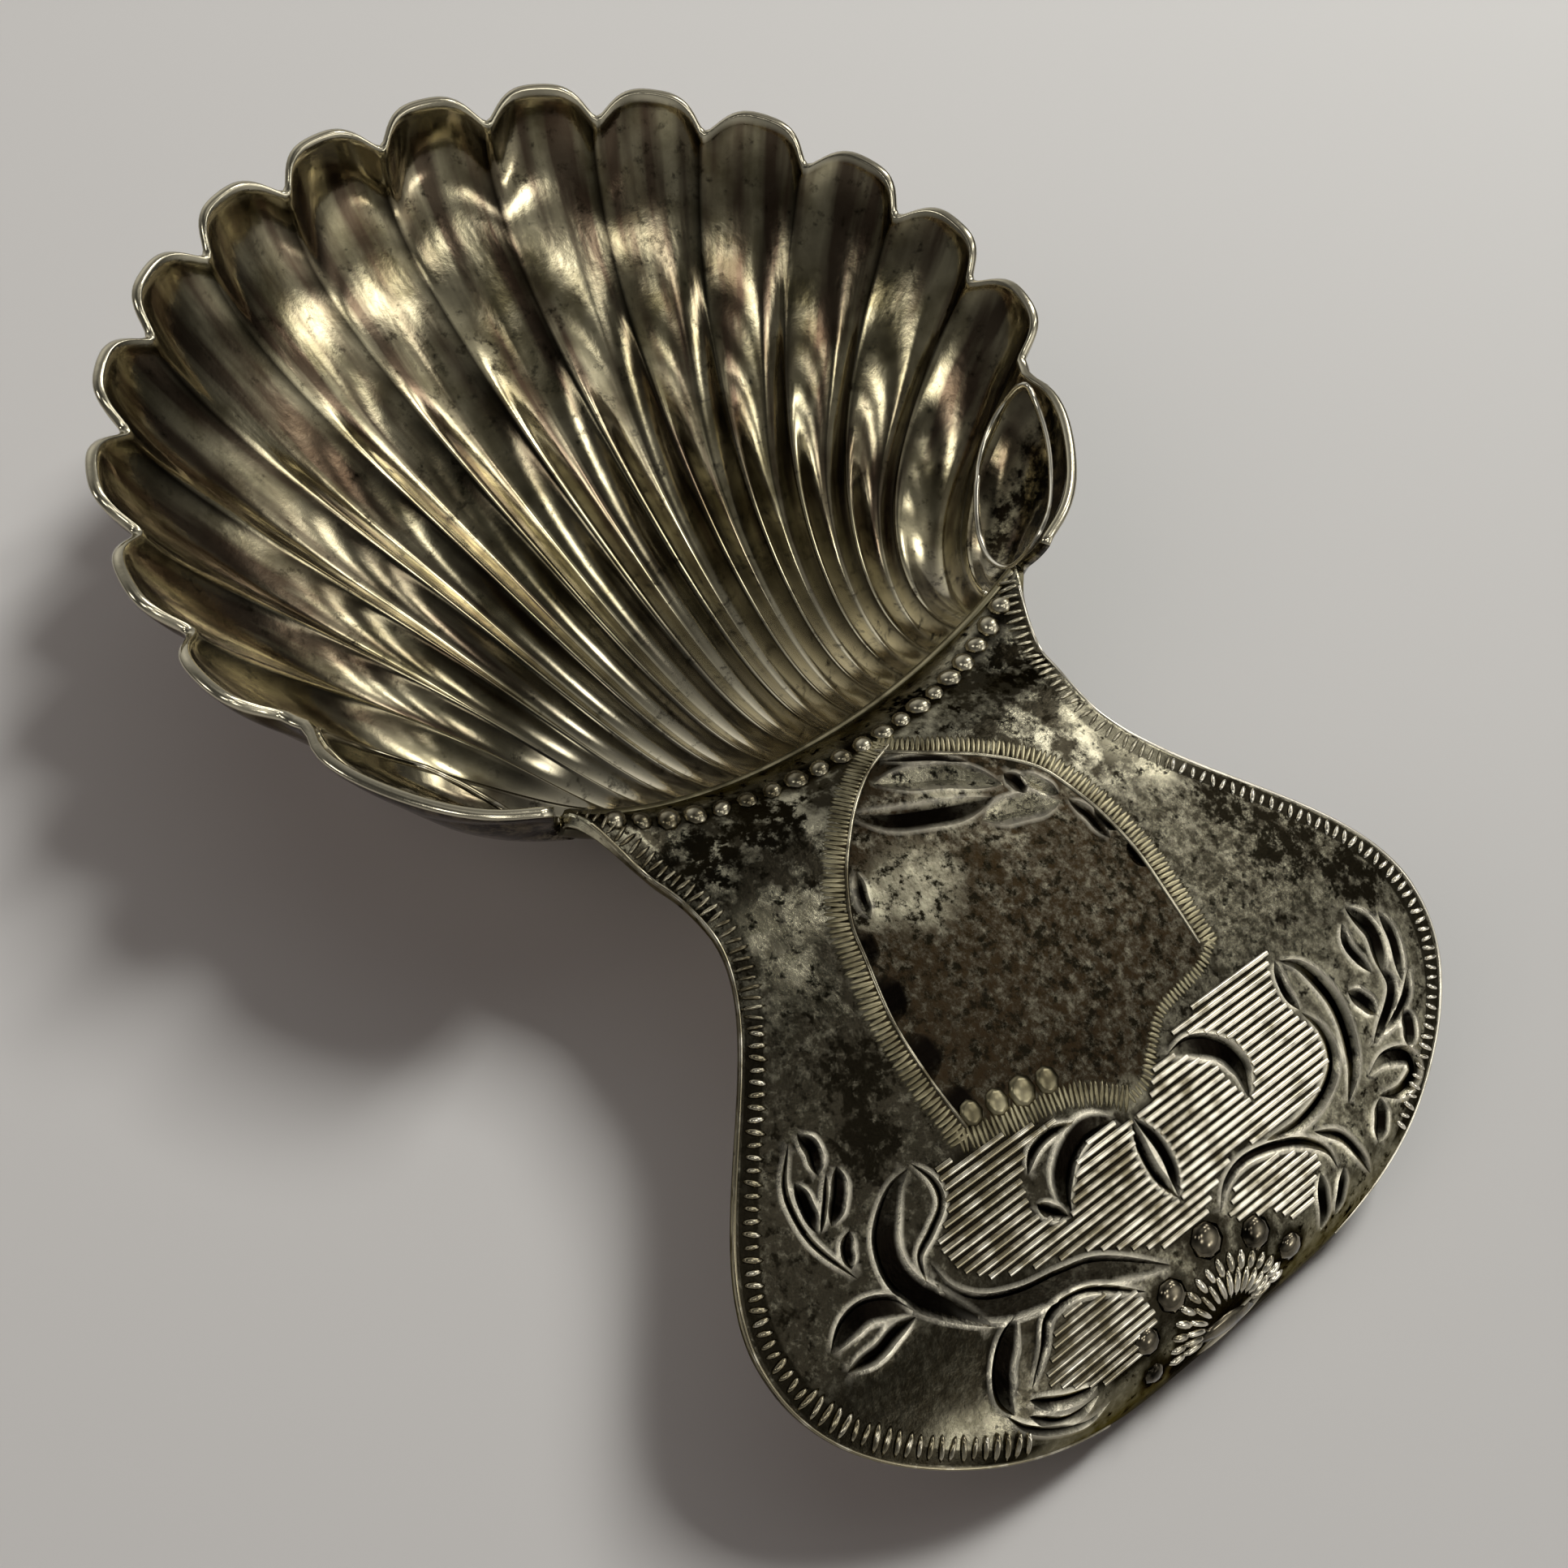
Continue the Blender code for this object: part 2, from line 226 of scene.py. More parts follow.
SHIELD_FOOT_RIGHT = (
    (20.3, 7.4), (20.9, 6.3), (21.15, 4.9), (21.4, 3.6), (22.0, 2.75), (22.65, 2.0), (23.3, 1.25),
    (23.5, 0.3),
)
HATCHED_FIELD = (
    (21.2, -8.4), (21.5, -6.0), (21.9, -4.3), (22.7, -2.4), (24.0, -0.4), (24.1, 0.8), (23.1, 1.8),
    (22.3, 3.6), (21.95, 5.2), (21.9, 7.8), (21.9, 9.5), (22.9, 8.9), (23.9, 8.7), (24.9, 9.0), (26.0, 9.5),
    (27.2, 9.3), (28.1, 8.0), (28.3, 6.4), (28.0, 4.7), (27.9, 2.9), (28.5, 1.4), (29.3, 0.5), (29.4, -1.3),
    (28.4, -2.9), (27.2, -4.8), (26.6, -6.7), (25.9, -8.6), (24.8, -9.7), (23.6, -9.9), (22.8, -8.9),
    (22.0, -8.5),
)
HATCHED_LEFT_OVAL = (
    (29.7, -8.1), (28.8, -7.4), (28.6, -6.4), (28.9, -5.2), (29.8, -3.7), (31.1, -3.3), (32.2, -4.4),
    (32.6, -5.6), (31.9, -6.9), (31.2, -8.0), (30.4, -8.9),
)
HATCHED_RIGHT_OVAL = (
    (29.8, 1.5), (28.9, 2.4), (28.7, 3.4), (29.0, 4.8), (29.6, 6.0), (30.4, 6.8), (31.0, 6.0), (31.9, 5.4),
    (31.9, 4.3), (30.6, 3.3), (30.5, 2.0),
)
SPEAR_FIELD = ((24.0, -0.1), (25.4, -0.8), (26.6, -0.8), (28.1, -0.1), (26.6, 0.6), (25.4, 0.6))
LEFT_CRESCENT_FIELD = (
    (22.5, -2.5), (22.4, -3.7), (22.7, -4.9), (23.5, -5.6), (24.8, -6.0), (25.9, -4.7), (25.0, -4.0),
    (24.1, -3.1), (23.8, -2.2), (23.9, -0.8), (23.4, -1.4),
)
RIGHT_CRESCENT_FIELD = (
    (22.8, 2.5), (22.7, 3.9), (23.3, 5.0), (24.3, 5.8), (25.5, 5.9), (26.6, 5.0), (25.6, 4.6), (24.4, 4.4),
    (23.7, 3.7),
)
BERRIES = (
    (30.0, 0.1, 0.80), (31.1, 2.3, 0.74), (32.8, 3.7, 0.64), (30.9, -2.4, 0.72), (31.8, -4.2, 0.62),
    (33.5, -4.3, 0.50),
)
# Petals inside the shield's border, as (border, side, places along, length, width, stain)
PETAL_ROWS = (
    (SHIELD_LEFT, 1.0, (14.8, 17.4, 19.9), 2.3, 0.95, 1.0),
    (SHIELD_LEFT, 1.0, (12.6,), 1.8, 0.60, 0.8),
    (SHIELD_RIGHT, -1.0, (13.6, 15.6), 1.5, 0.40, 0.5),
)
PETAL_INSET = 0.62
PETAL_NARROW = 0.10
PETAL_DEPTH = 0.18
PETAL_LIP = 0.0
PETAL_CORE = 0.92
SHIELD_LIP = 0.3
FACET_STAIN = 0.12
FACET_PALE = 0.9
TAPER_SHARE = 0.7
TAPER_POWER = 0.8
FLOWER_CENTRE = (34.2, -0.2)
PLAIN_EDGE = (0.24, 0.30)
BORDER_END = (1.12, 1.22)
RIGHT_BORDER_END = 31.8
LEFT_BORDER_END = 32.2
HATCH_PITCH = 0.37
CUT_PITCH = 0.14 * MM
CLEAN_LIP = 0.10 * MM
CLEAN_SHARE = 0.35
STAIN_CORE = 0.82
BURR_WIDTH = 0.20 * MM
BURR_HEIGHT = 0.05 * MM
RUBBED_REACH = 0.60 * MM
# Where soot is thick and where the metal is pale, as (along, across, radius) in millimetres. The pale
# patches on the neck's two edges and the two near the tail are painted highlights and glints, the rest
# rubbed metal
SOOT_PATCHES = (
    (5.6, -9.0, 2.6), (8.3, -10.4, 1.3), (18.5, 13.5, 2.4), (21.5, 15.3, 2.0), (15.5, 12.2, 1.6),
    (5.0, 9.2, 2.0), (3.5, 4.0, 1.5), (5.5, -5.5, 2.2), (19.0, -10.2, 1.8), (6.6, 0.6, 0.9),
    (7.6, -2.4, 0.9), (9.0, 4.9, 0.8), (11.0, -5.0, 1.2), (16.5, -8.8, 2.0),
)
PALE_AND_GLINT_PATCHES = (
    (9.1, 9.6, 1.4), (10.9, 10.1, 1.4), (12.6, 10.7, 1.4), (9.7, -8.7, 1.4), (10.2, -7.0, 1.3),
    (11.6, -8.6, 1.2), (29.6, -13.0, 1.2), (30.2, -11.2, 1.0), (9.0, 1.6, 1.6), (11.2, -4.2, 1.4),
    (11.6, -2.2, 2.2), (23.5, 0.4, 0.8),
)
GROUND_PITCH = 0.34 * MM
OUTLINE_PITCH = 0.3 * MM
SHARP_ANGLE = math.radians(14.0)

# Where the borders, the zones of tarnish and the tail's painted dark reflection begin and end on the
# handle, in millimetres
NECK_EDGE = (1.2, 12.6)
LEFT_EDGE = (12.8, 25.0)
TAIL_EDGE = (25.4, LEFT_BORDER_END + 0.3)
RIGHT_EDGE = (12.8, RIGHT_BORDER_END + 0.3)
WIRED_EDGE = (2.0, 34.6, 0.10)
NECK_BORDER_FADE = (11.0, 14.0)
TAIL_ALONG = (24.5, 26.5)
TAIL_ACROSS = (-5.0, -8.0)
TAIL_FADE = (28.5, 31.0)
FILM_ALONG = (12.0, 16.0)
FILM_ACROSS = (4.0, -8.0)
THIN_FILM = 0.04
THICK_FILM = 0.17
EVEN_ALONG = (11.0, 15.0)
RIGHT_WING_ALONG = (18.0, 22.0)
RIGHT_WING_ACROSS = (2.0, 9.0)
JOINT_ROW_AT = 4.5
JOINT_ROW_BOW = 3.0
JOINT_ROW_REACH = 11.5
JOINT_ROW_HALF = 10.6
FLOWER_ARC = (262.0, 98.0)
HATCH_ALONG = (21.3, 32.3)
HATCH_ACROSS = (-10.5, 10.5)
HATCH_STEP = 0.05
SHORTEST_HATCH = 8
SHIELD_BAND = (0.5, 0.65)
PEARL_BAND = (0.45, 0.7)
FLOWER_BAND = (3.2, 3.45)
BERRY_BAND = (0.20, 0.42)
NECK_FOOT = (0.4, 0.8)
SCALLOP_INSET = 0.85
RIM_LINE_INSET = 0.52
JOINT_EDGE_AT = 0.45
JOINT_EDGE_HALF = 12.2
# How soot and pale metal fade, as shares of a patch's radius, and what edge and underside have of them
SOOT_FADE = (0.4, 1.2)
PALE_FADE = (0.2, 1.2)
UNDERSIDE = {"soot": 0.1, "pale": 0.8}

# Grains of the rows: the inputs of their tree, the first six in millimetres
GRAIN_SIZES = ("Pitch", "Length", "Width", "Height", "Inset", "Sink", "Lean", "Vary")
GRAIN_SIDES = 8
GRAIN_RINGS = 5
RIDGE_SIDES = 8

# Joint
SOLDER_RADIUS = 0.55 * MM
SOLDER_DEPTH = 0.48 * MM
SOLDER_HALF = 0.985

# Textures of the silver, as (grains to a metre, detail, roughness)
BOWL_FILM = (1.0 / (3.0 * MM), 6.0)
BOWL_SOOT = (1.0 / (9.0 * MM), 2.0)
BOWL_SPECKS = (1.0 / (0.8 * MM), 8.0, 0.72)
BOWL_HAZE = (1.0 / (1.2 * MM), 3.0)
BOWL_FINE_WAVES = (1.0 / (0.5 * MM), 4.0, 0.6)
HANDLE_FILM = (1.0 / (1.6 * MM), 8.0, 0.65)
HANDLE_GRAIN = (1.0 / (0.45 * MM), 8.0, 0.75)
HANDLE_SPECKS = (1.0 / (0.6 * MM), 8.0, 0.72)
HANDLE_HAZE = (1.0 / (0.8 * MM), 5.0)
HANDLE_PITS = (1.0 / (0.5 * MM), 6.0, 0.65)
WORN_FILM = (1.0 / (1.0 * MM), 5.0)
SOLDER_FILM = (1.0 / (1.0 * MM), 4.0)
# Masks of the tarnish, of the painted shade on one flank of each ridge and of the painted light at the
# heel, as (where one begins, where it is full, least, most)
BOWL_MASKS = {
    "film": (0.36, 0.66),
    "streak": (0.54, 0.74, 0.0, 0.85),
    "heel": (0.40, 0.05, 0.0, 0.85),
    "painted shade onset": (0.0, 0.04),
    "painted shade width": (0.0, 1.0, 0.42, 0.16),
    "painted shade amount": (0.1, 0.8, 0.75, 0.88),
    "ear": (0.82, 0.72, 0.0, 0.9),
    "specks": (0.64, 0.80),
    "rubbed": (0.997, 0.9995),
    "roughness": (0.0, 1.0, 0.06, 0.20),
}
HANDLE_MASKS = {
    "film": (0.41, 0.58),
    "polished": (-0.25, 0.25, 0.3),
    "grain": (0.36, 0.60),
    "level": (THIN_FILM, THICK_FILM, 0.50, 0.70),
    "brown": (0.0, 1.0, 0.3),
    "thin": (0.0, 1.0, 0.95, 0.4),
    "specks": (0.57, 0.66),
    "clear": (THIN_FILM, THICK_FILM, 1.0, 0.65),
    "roughness": (0.0, 1.0, 0.12, 0.36),
}
WORN_MASK = (0.38, 0.65)
SOLDER_ROUGHNESS = (0.0, 1.0, 0.3, 0.5)
SOOT_WEIGHT = 0.17
STREAKS_AT_RIM = 0.16
PAINTED_SHADE_CREST = 0.05
FINE_WAVE_SHARE = 0.35
WAVE_STRENGTH = 0.4
WAVE_HEIGHT = 0.06 * MM
GRIT = 0.60
EVENNESS = 0.85
CLOSE_AND_TAIL_DARKNESS = 0.93
FIELD_ROUGHNESS = 0.08
PIT_STRENGTH = 0.55
PIT_DEPTH = 0.07 * MM
FILM_TO_THE_RIGHT = -12.0
# Attributes that the handle's sheet carries
HANDLE_ATTRIBUTES = (
    "cut_tarnish", "cut_bright", "close_work_and_tail_shade", "shield_field", "soot", "pale", "thick_film", "even_film",
)
# Streaks and waves down the bowl, as how many to a flute and how many from the joint to the rim
STREAKS = (4.0, 3.0)
WAVES = (5.0, 14.0)
# Raised work, rubbed by handling: name of the finish, light colour, colour of its film, roughness
WORN_FINISHES = {
    "bright": ("worn sterling silver", "EFE9D8", "8C846E", 0.16),
    "dulled": ("worn sterling silver, dulled", "BDB6A0", "5E5745", 0.22),
    "blackened": ("worn sterling silver, blackened", "837B69", "1E1B15", 0.10),
    "olive": ("worn sterling silver, olive", "A8A082", "6E6750", 0.30),
}

# What the metal mirrors: a dim room with soft glows, each as (azimuth, elevation, spread, strength)
ROOM_DIM = 0.03
ROOM_GLOWS = (
    (118.0, 50.0, 3.5, 11.0),   # windows and ceiling lights
    (111.0, 32.0, 4.0, 7.0),
    (81.0, 45.0, 3.5, 6.5),
    (74.0, 63.0, 3.0, 6.0),
    (0.0, 76.0, 3.5, 6.0),
    (345.0, 56.0, 3.5, 6.0),
    (292.0, 69.0, 3.5, 6.0),
    (244.0, 45.0, 3.5, 7.0),
    (26.0, 27.0, 4.0, 3.0),
    (14.5, 28.0, 3.0, 7.0),
    (345.0, 58.0, 22.0, 0.17),  # walls
    (24.0, 12.0, 22.0, 0.42),
    (42.0, 38.0, 12.0, 1.05),
    (104.0, 44.0, 11.0, 0.80),
    (150.0, 10.0, 20.0, 0.45),
    (208.0, 30.0, 16.0, 0.20),
    (176.0, 30.0, 13.0, 0.40),
    (140.0, 68.0, 9.0, 0.45),
    (315.0, 7.0, 18.0, 0.40),
    (268.0, 7.0, 16.0, 0.15),
    (182.0, 5.0, 15.0, 0.35),
)

# Lamps, as (name, azimuth, elevation, distance, width, height, power, colour)
LAMPS = (
    ("key_lamp_near", 105.0, 51.0, 0.42, 0.05, 0.15, 0.62, "FFFEFA"),
    ("key_lamp_far", 116.0, 51.0, 0.42, 0.05, 0.15, 0.62, "FFFEFA"),
    ("ceiling_fill", 160.0, 62.0, 0.45, 0.35, 0.35, 0.15, "FFFEFA"),
    ("left_fill", 255.0, 42.0, 0.45, 0.35, 0.35, 0.33, "FFEDE8"),
)
TABLE_HALF = 1.5

# Camera that took the photograph, as fitted to the spoon's mirror symmetry
PHOTO_SIZE = 1932
FOCAL_PIXELS = 1900
CAMERA_PLACE = Vector((29.996, -28.293, 65.266)) * MM
CAMERA_FORWARD = Vector((-0.34920, 0.37516, -0.85867))
CAMERA_RIGHT = Vector((0.58457, 0.80340, 0.11328))


def linear(code):
    """Linear colour of an sRGB hex value such as "C9C2AE"."""
    shares = [int(code[i:i + 2], 16) / 255.0 for i in (0, 2, 4)]
    channels = [c / 12.92 if c <= 0.04045 else ((c + 0.055) / 1.055) ** 2.4 for c in shares]
    return (*channels, 1.0)


def add_node(tree, kind, *values, named=None, out=0, **settings):
    """Add a node with its settings and give back one of its outputs. An input is a value or the output
    that feeds it. The first inputs come in order, None leaves one as it is, others go by name or number."""
    node = tree.nodes.new(kind)
    for name, value in settings.items():
        setattr(node, name, value)
    for key, value in (*enumerate(values), *(named or {}).items()):
        if isinstance(value, bpy.types.NodeSocket):
            tree.links.new(value, node.inputs[key])
        elif value is not None:
            node.inputs[key].default_value = value
    return node.outputs[out] if node.outputs else None


def ease(low, high, value):
    """Rise smoothly from 0 at low to 1 at high."""
    t = np.clip((value - low) / (high - low), 0.0, 1.0)
    return t * t * (3.0 - 2.0 * t)


def unit(vectors):
    return vectors / np.linalg.norm(vectors, axis=-1, keepdims=True)


# Shell bowl

def floor_height(x):
    """Height of the bowl's middle line below the rim plane: steep at the front, falling gently
    towards the heel, level before it and rising at the joint."""
    share = x / RIM_RADIUS
    front = np.maximum(1.0 - np.maximum(-share, 0.0) ** FRONT_POWER, 0.0) ** FRONT_ROUND
    heel = 1.0 - np.clip(share, 0.0, 1.0) ** HEEL_POWER
    fall = FLOOR_FALL * np.where(x < 0.0, x, LEVEL_REACH * np.tanh(x / LEVEL_REACH))
    return -(FLOOR_DEPTH + fall) * front * heel


def dish_height(x, y):
    """Height of the bowl without its flutes, at the level of the ridges."""
    half_chord = np.sqrt(np.maximum(RIM_RADIUS ** 2 - x ** 2, 1e-12))
    side = np.clip(np.abs(y) / half_chord, 0.0, 1.0)
    return floor_height(x) * (1.0 - side ** SIDE_POWER) ** SIDE_ROUND


def dish_normal(x, y):
    """Unit normal of the dish that points away from the bowl's hollow."""
    step = NORMAL_STEP
    reach = (RIM_RADIUS - 1.6 * step) / np.maximum(np.hypot(x, y), 1e-9)
    x, y = x * np.minimum(reach, 1.0), y * np.minimum(reach, 1.0)
    slope_x = (dish_height(x + step, y) - dish_height(x - step, y)) / (2.0 * step)
    slope_y = (dish_height(x, y + step) - dish_height(x, y - step)) / (2.0 * step)
    limit = np.minimum(STEEPEST / np.maximum(np.hypot(slope_x, slope_y), 1e-9), 1.0)
    return unit(np.stack([slope_x * limit, slope_y * limit, -np.ones_like(slope_x)], axis=-1))


def joint_point(across):
    """Plan point on the joint of bowl and handle; across runs from -1 to 1."""
    corner_x = (RIM_RADIUS - CORNER_INSET) * math.cos(JOINT_ANGLE)
    corner_y = (RIM_RADIUS - CORNER_INSET) * math.sin(JOINT_ANGLE)
    return corner_x + JOINT_BOW * (1.0 - across ** 2), corner_y * across


def fan_point(place, along):
    """Plan point on one line of the fan. Place counts flutes from the right corner of the
    joint, with an ear at each end; along runs from the joint to the rim."""
    half = LOBE_COUNT / 2.0
    side = np.where(place > half + 1.0, -1.0, 1.0)
    count = half + 1.0 - np.abs(place - half - 1.0)
    ear_angle = JOINT_ANGLE + (EAR_NOTCH_ANGLE - JOINT_ANGLE) * count
    lobe_angle = EAR_NOTCH_ANGLE + (math.pi - EAR_NOTCH_ANGLE) * (count - 1.0) / half
    angle = np.where(count < 1.0, ear_angle, lobe_angle)
    rim_x, rim_y = RIM_RADIUS * np.cos(angle), RIM_RADIUS * np.sin(angle)
    across = 1.0 - count / (half + 1.0)
    heel_x, heel_y = joint_point(across)
    sweep = FLUTE_SWEEP * np.sin(angle) ** SWEEP_POWER * np.clip(SWEEP_ONSET * (1.0 - across), 0.0, 1.0)
    chord_x, chord_y = rim_x - heel_x, rim_y - heel_y
    length = np.hypot(chord_x, chord_y)
    bend_x = (rim_x + heel_x) / 2.0 - 2.0 * sweep * chord_y / length
    bend_y = (rim_y + heel_y) / 2.0 + 2.0 * sweep * chord_x / length
    near, mid, far = (1.0 - along) ** 2, 2.0 * along * (1.0 - along), along ** 2
    x = near * heel_x + mid * bend_x + far * rim_x
    y = near * heel_y + mid * bend_y + far * rim_y
    return x, side * y


def press_direction(x, y, along):
    """Way in which the stamp pushes the sheet: square to the dish, and outwards at the rim."""
    radial = unit(np.stack([x, y, np.zeros_like(x)], axis=-1))
    upright = ease(0.5, 1.0, along)[..., None]
    return unit(dish_normal(x, y) * (1.0 - upright) + radial * upright)


def even_rows(place):
    """Shares along each fan line that space the rows evenly over its length."""
    fine = 1.0 - (1.0 - np.linspace(0.0, 1.0, 240)) ** 2
    places, shares = np.meshgrid(place, fine, indexing="ij")
    x, y = fan_point(places, shares)
    line = np.stack([x, y, dish_height(x, y)], axis=-1)
    length = np.cumsum(np.linalg.norm(np.diff(line, axis=1), axis=-1), axis=1)
    rows = []
    for run in length:
        rows.append(np.interp(np.linspace(0.0, run[-1], FAN_STEPS + 1), np.append(0.0, run), fine))
    return np.array(rows)


def bowl_blank():
    """The plain dished sheet before its flutes are stamped: points, faces and attributes.
    Each column runs up the inner face, over the rounded rim and down the outer face."""
    columns = (LOBE_COUNT + 2) * FLUTE_STEPS + 1
    place = np.linspace(LOBE_COUNT + 2.0, 0.0, columns)
    inner = even_rows(place)
    turn = np.radians([45.0, 90.0, 135.0])
    rim = np.ones((columns, len(turn)))
    along = np.concatenate([inner, rim, inner[:, ::-1]], axis=1)
    rows = along.shape[1]
    depth = np.concatenate([
        np.zeros(FAN_STEPS + 1),
        BOWL_SHEET * (1.0 - np.cos(turn)) / 2.0,
        np.full(FAN_STEPS + 1, BOWL_SHEET),
    ])
    lift = np.concatenate([np.zeros(FAN_STEPS + 1), RIM_ROUND * np.sin(turn), np.zeros(FAN_STEPS + 1)])
    places = np.repeat(place[:, None], rows, axis=1)
    x, y = fan_point(places, along)
    press = press_direction(x, y, along)
    points = np.stack([x, y, dish_height(x, y)], axis=-1) + press * depth[None, :, None]
    points[..., 2] += lift[None, :]
    index = np.arange(columns * rows).reshape(columns, rows)
    faces = []
    for i in range(columns - 1):
        for j in range(rows):
            k = (j + 1) % rows
            faces.append((index[i, j], index[i + 1, j], index[i + 1, k], index[i, k]))
    for end, column in ((False, 0), (True, columns - 1)):
        for j in range(FAN_STEPS + 2):
            k = rows - 1 - j
            corners = (j, j + 1, k) if k - j == 2 else (j, j + 1, k - 1, k)
            cap = [index[column, corner] for corner in corners]
            faces.append(cap[::-1] if end else cap)
    values = {"flute_place": places.ravel(), "flute_along": along.ravel(), "press": press.reshape(-1, 3)}
    return points.reshape(-1, 3), faces, values


def plain_mesh(name, points, faces, edges=()):
    mesh = bpy.data.meshes.new(name)
    corners = [tuple(map(int, face)) for face in faces]
    mesh.from_pydata([tuple(p) for p in points], [tuple(e) for e in edges], corners)
    return mesh


def add_attributes(mesh, values):
    """Store point attributes: numbers or vectors."""
    for name, array in values.items():
        kind = "FLOAT" if np.ndim(array) == 1 else "FLOAT_VECTOR"
        key = "value" if kind == "FLOAT" else "vector"
        attribute = mesh.attributes.new(name, kind, "POINT")
        attribute.data.foreach_set(key, np.asarray(array, dtype=np.float32).ravel())


def add_object(name, data):
    added = bpy.data.objects.new(name, data)
    bpy.context.scene.collection.objects.link(added)
    return added


def grown_object(name, mesh, tree, sizes):
    """Run a geometry tree on a mesh and keep the result as a plain mesh object."""
    guide = add_object(name + "_guide", mesh)
    modifier = guide.modifiers.new("tree", "NODES")
    modifier.node_group = tree
    for item in tree.interface.items_tree:
        if item.item_type == "SOCKET" and item.in_out == "INPUT" and item.name in sizes:
            modifier[item.identifier] = sizes[item.name]
    graph = bpy.context.evaluated_depsgraph_get()
    result = bpy.data.meshes.new_from_object(
        guide.evaluated_get(graph), preserve_all_data_layers=True, depsgraph=graph)
    result.name = name
    guide.modifiers.remove(modifier)
    bpy.data.objects.remove(guide)
    bpy.data.meshes.remove(mesh)
    return add_object(name, result)


def new_tree(name, numbers, counts=()):
    """Empty geometry tree with named inputs for numbers, whole numbers and a material: the tree, the
    function that adds a node to it, and its inputs."""
    tree = bpy.data.node_groups.new(name, "GeometryNodeTree")
    kinds = {
        "Geometry": "Geometry",
        **dict.fromkeys(numbers, "Float"),
        **dict.fromkeys(counts, "Int"),
        "Material": "Material",
    }
    for socket, kind in kinds.items():
        tree.interface.new_socket(socket, in_out="INPUT", socket_type="NodeSocket" + kind)
    tree.interface.new_socket("Geometry", in_out="OUTPUT", socket_type="NodeSocketGeometry")
    node = partial(add_node, tree)
    return tree, node, node("NodeGroupInput").node.outputs


def end_tree(node, geometry, material):
    """Realize what the tree made, shade it smooth, give it its material and output it."""
    real = node("GeometryNodeRealizeInstances", geometry)
    smooth = node("GeometryNodeSetShadeSmooth", real, None, True)
    node("NodeGroupOutput", node("GeometryNodeSetMaterial", smooth, None, material))


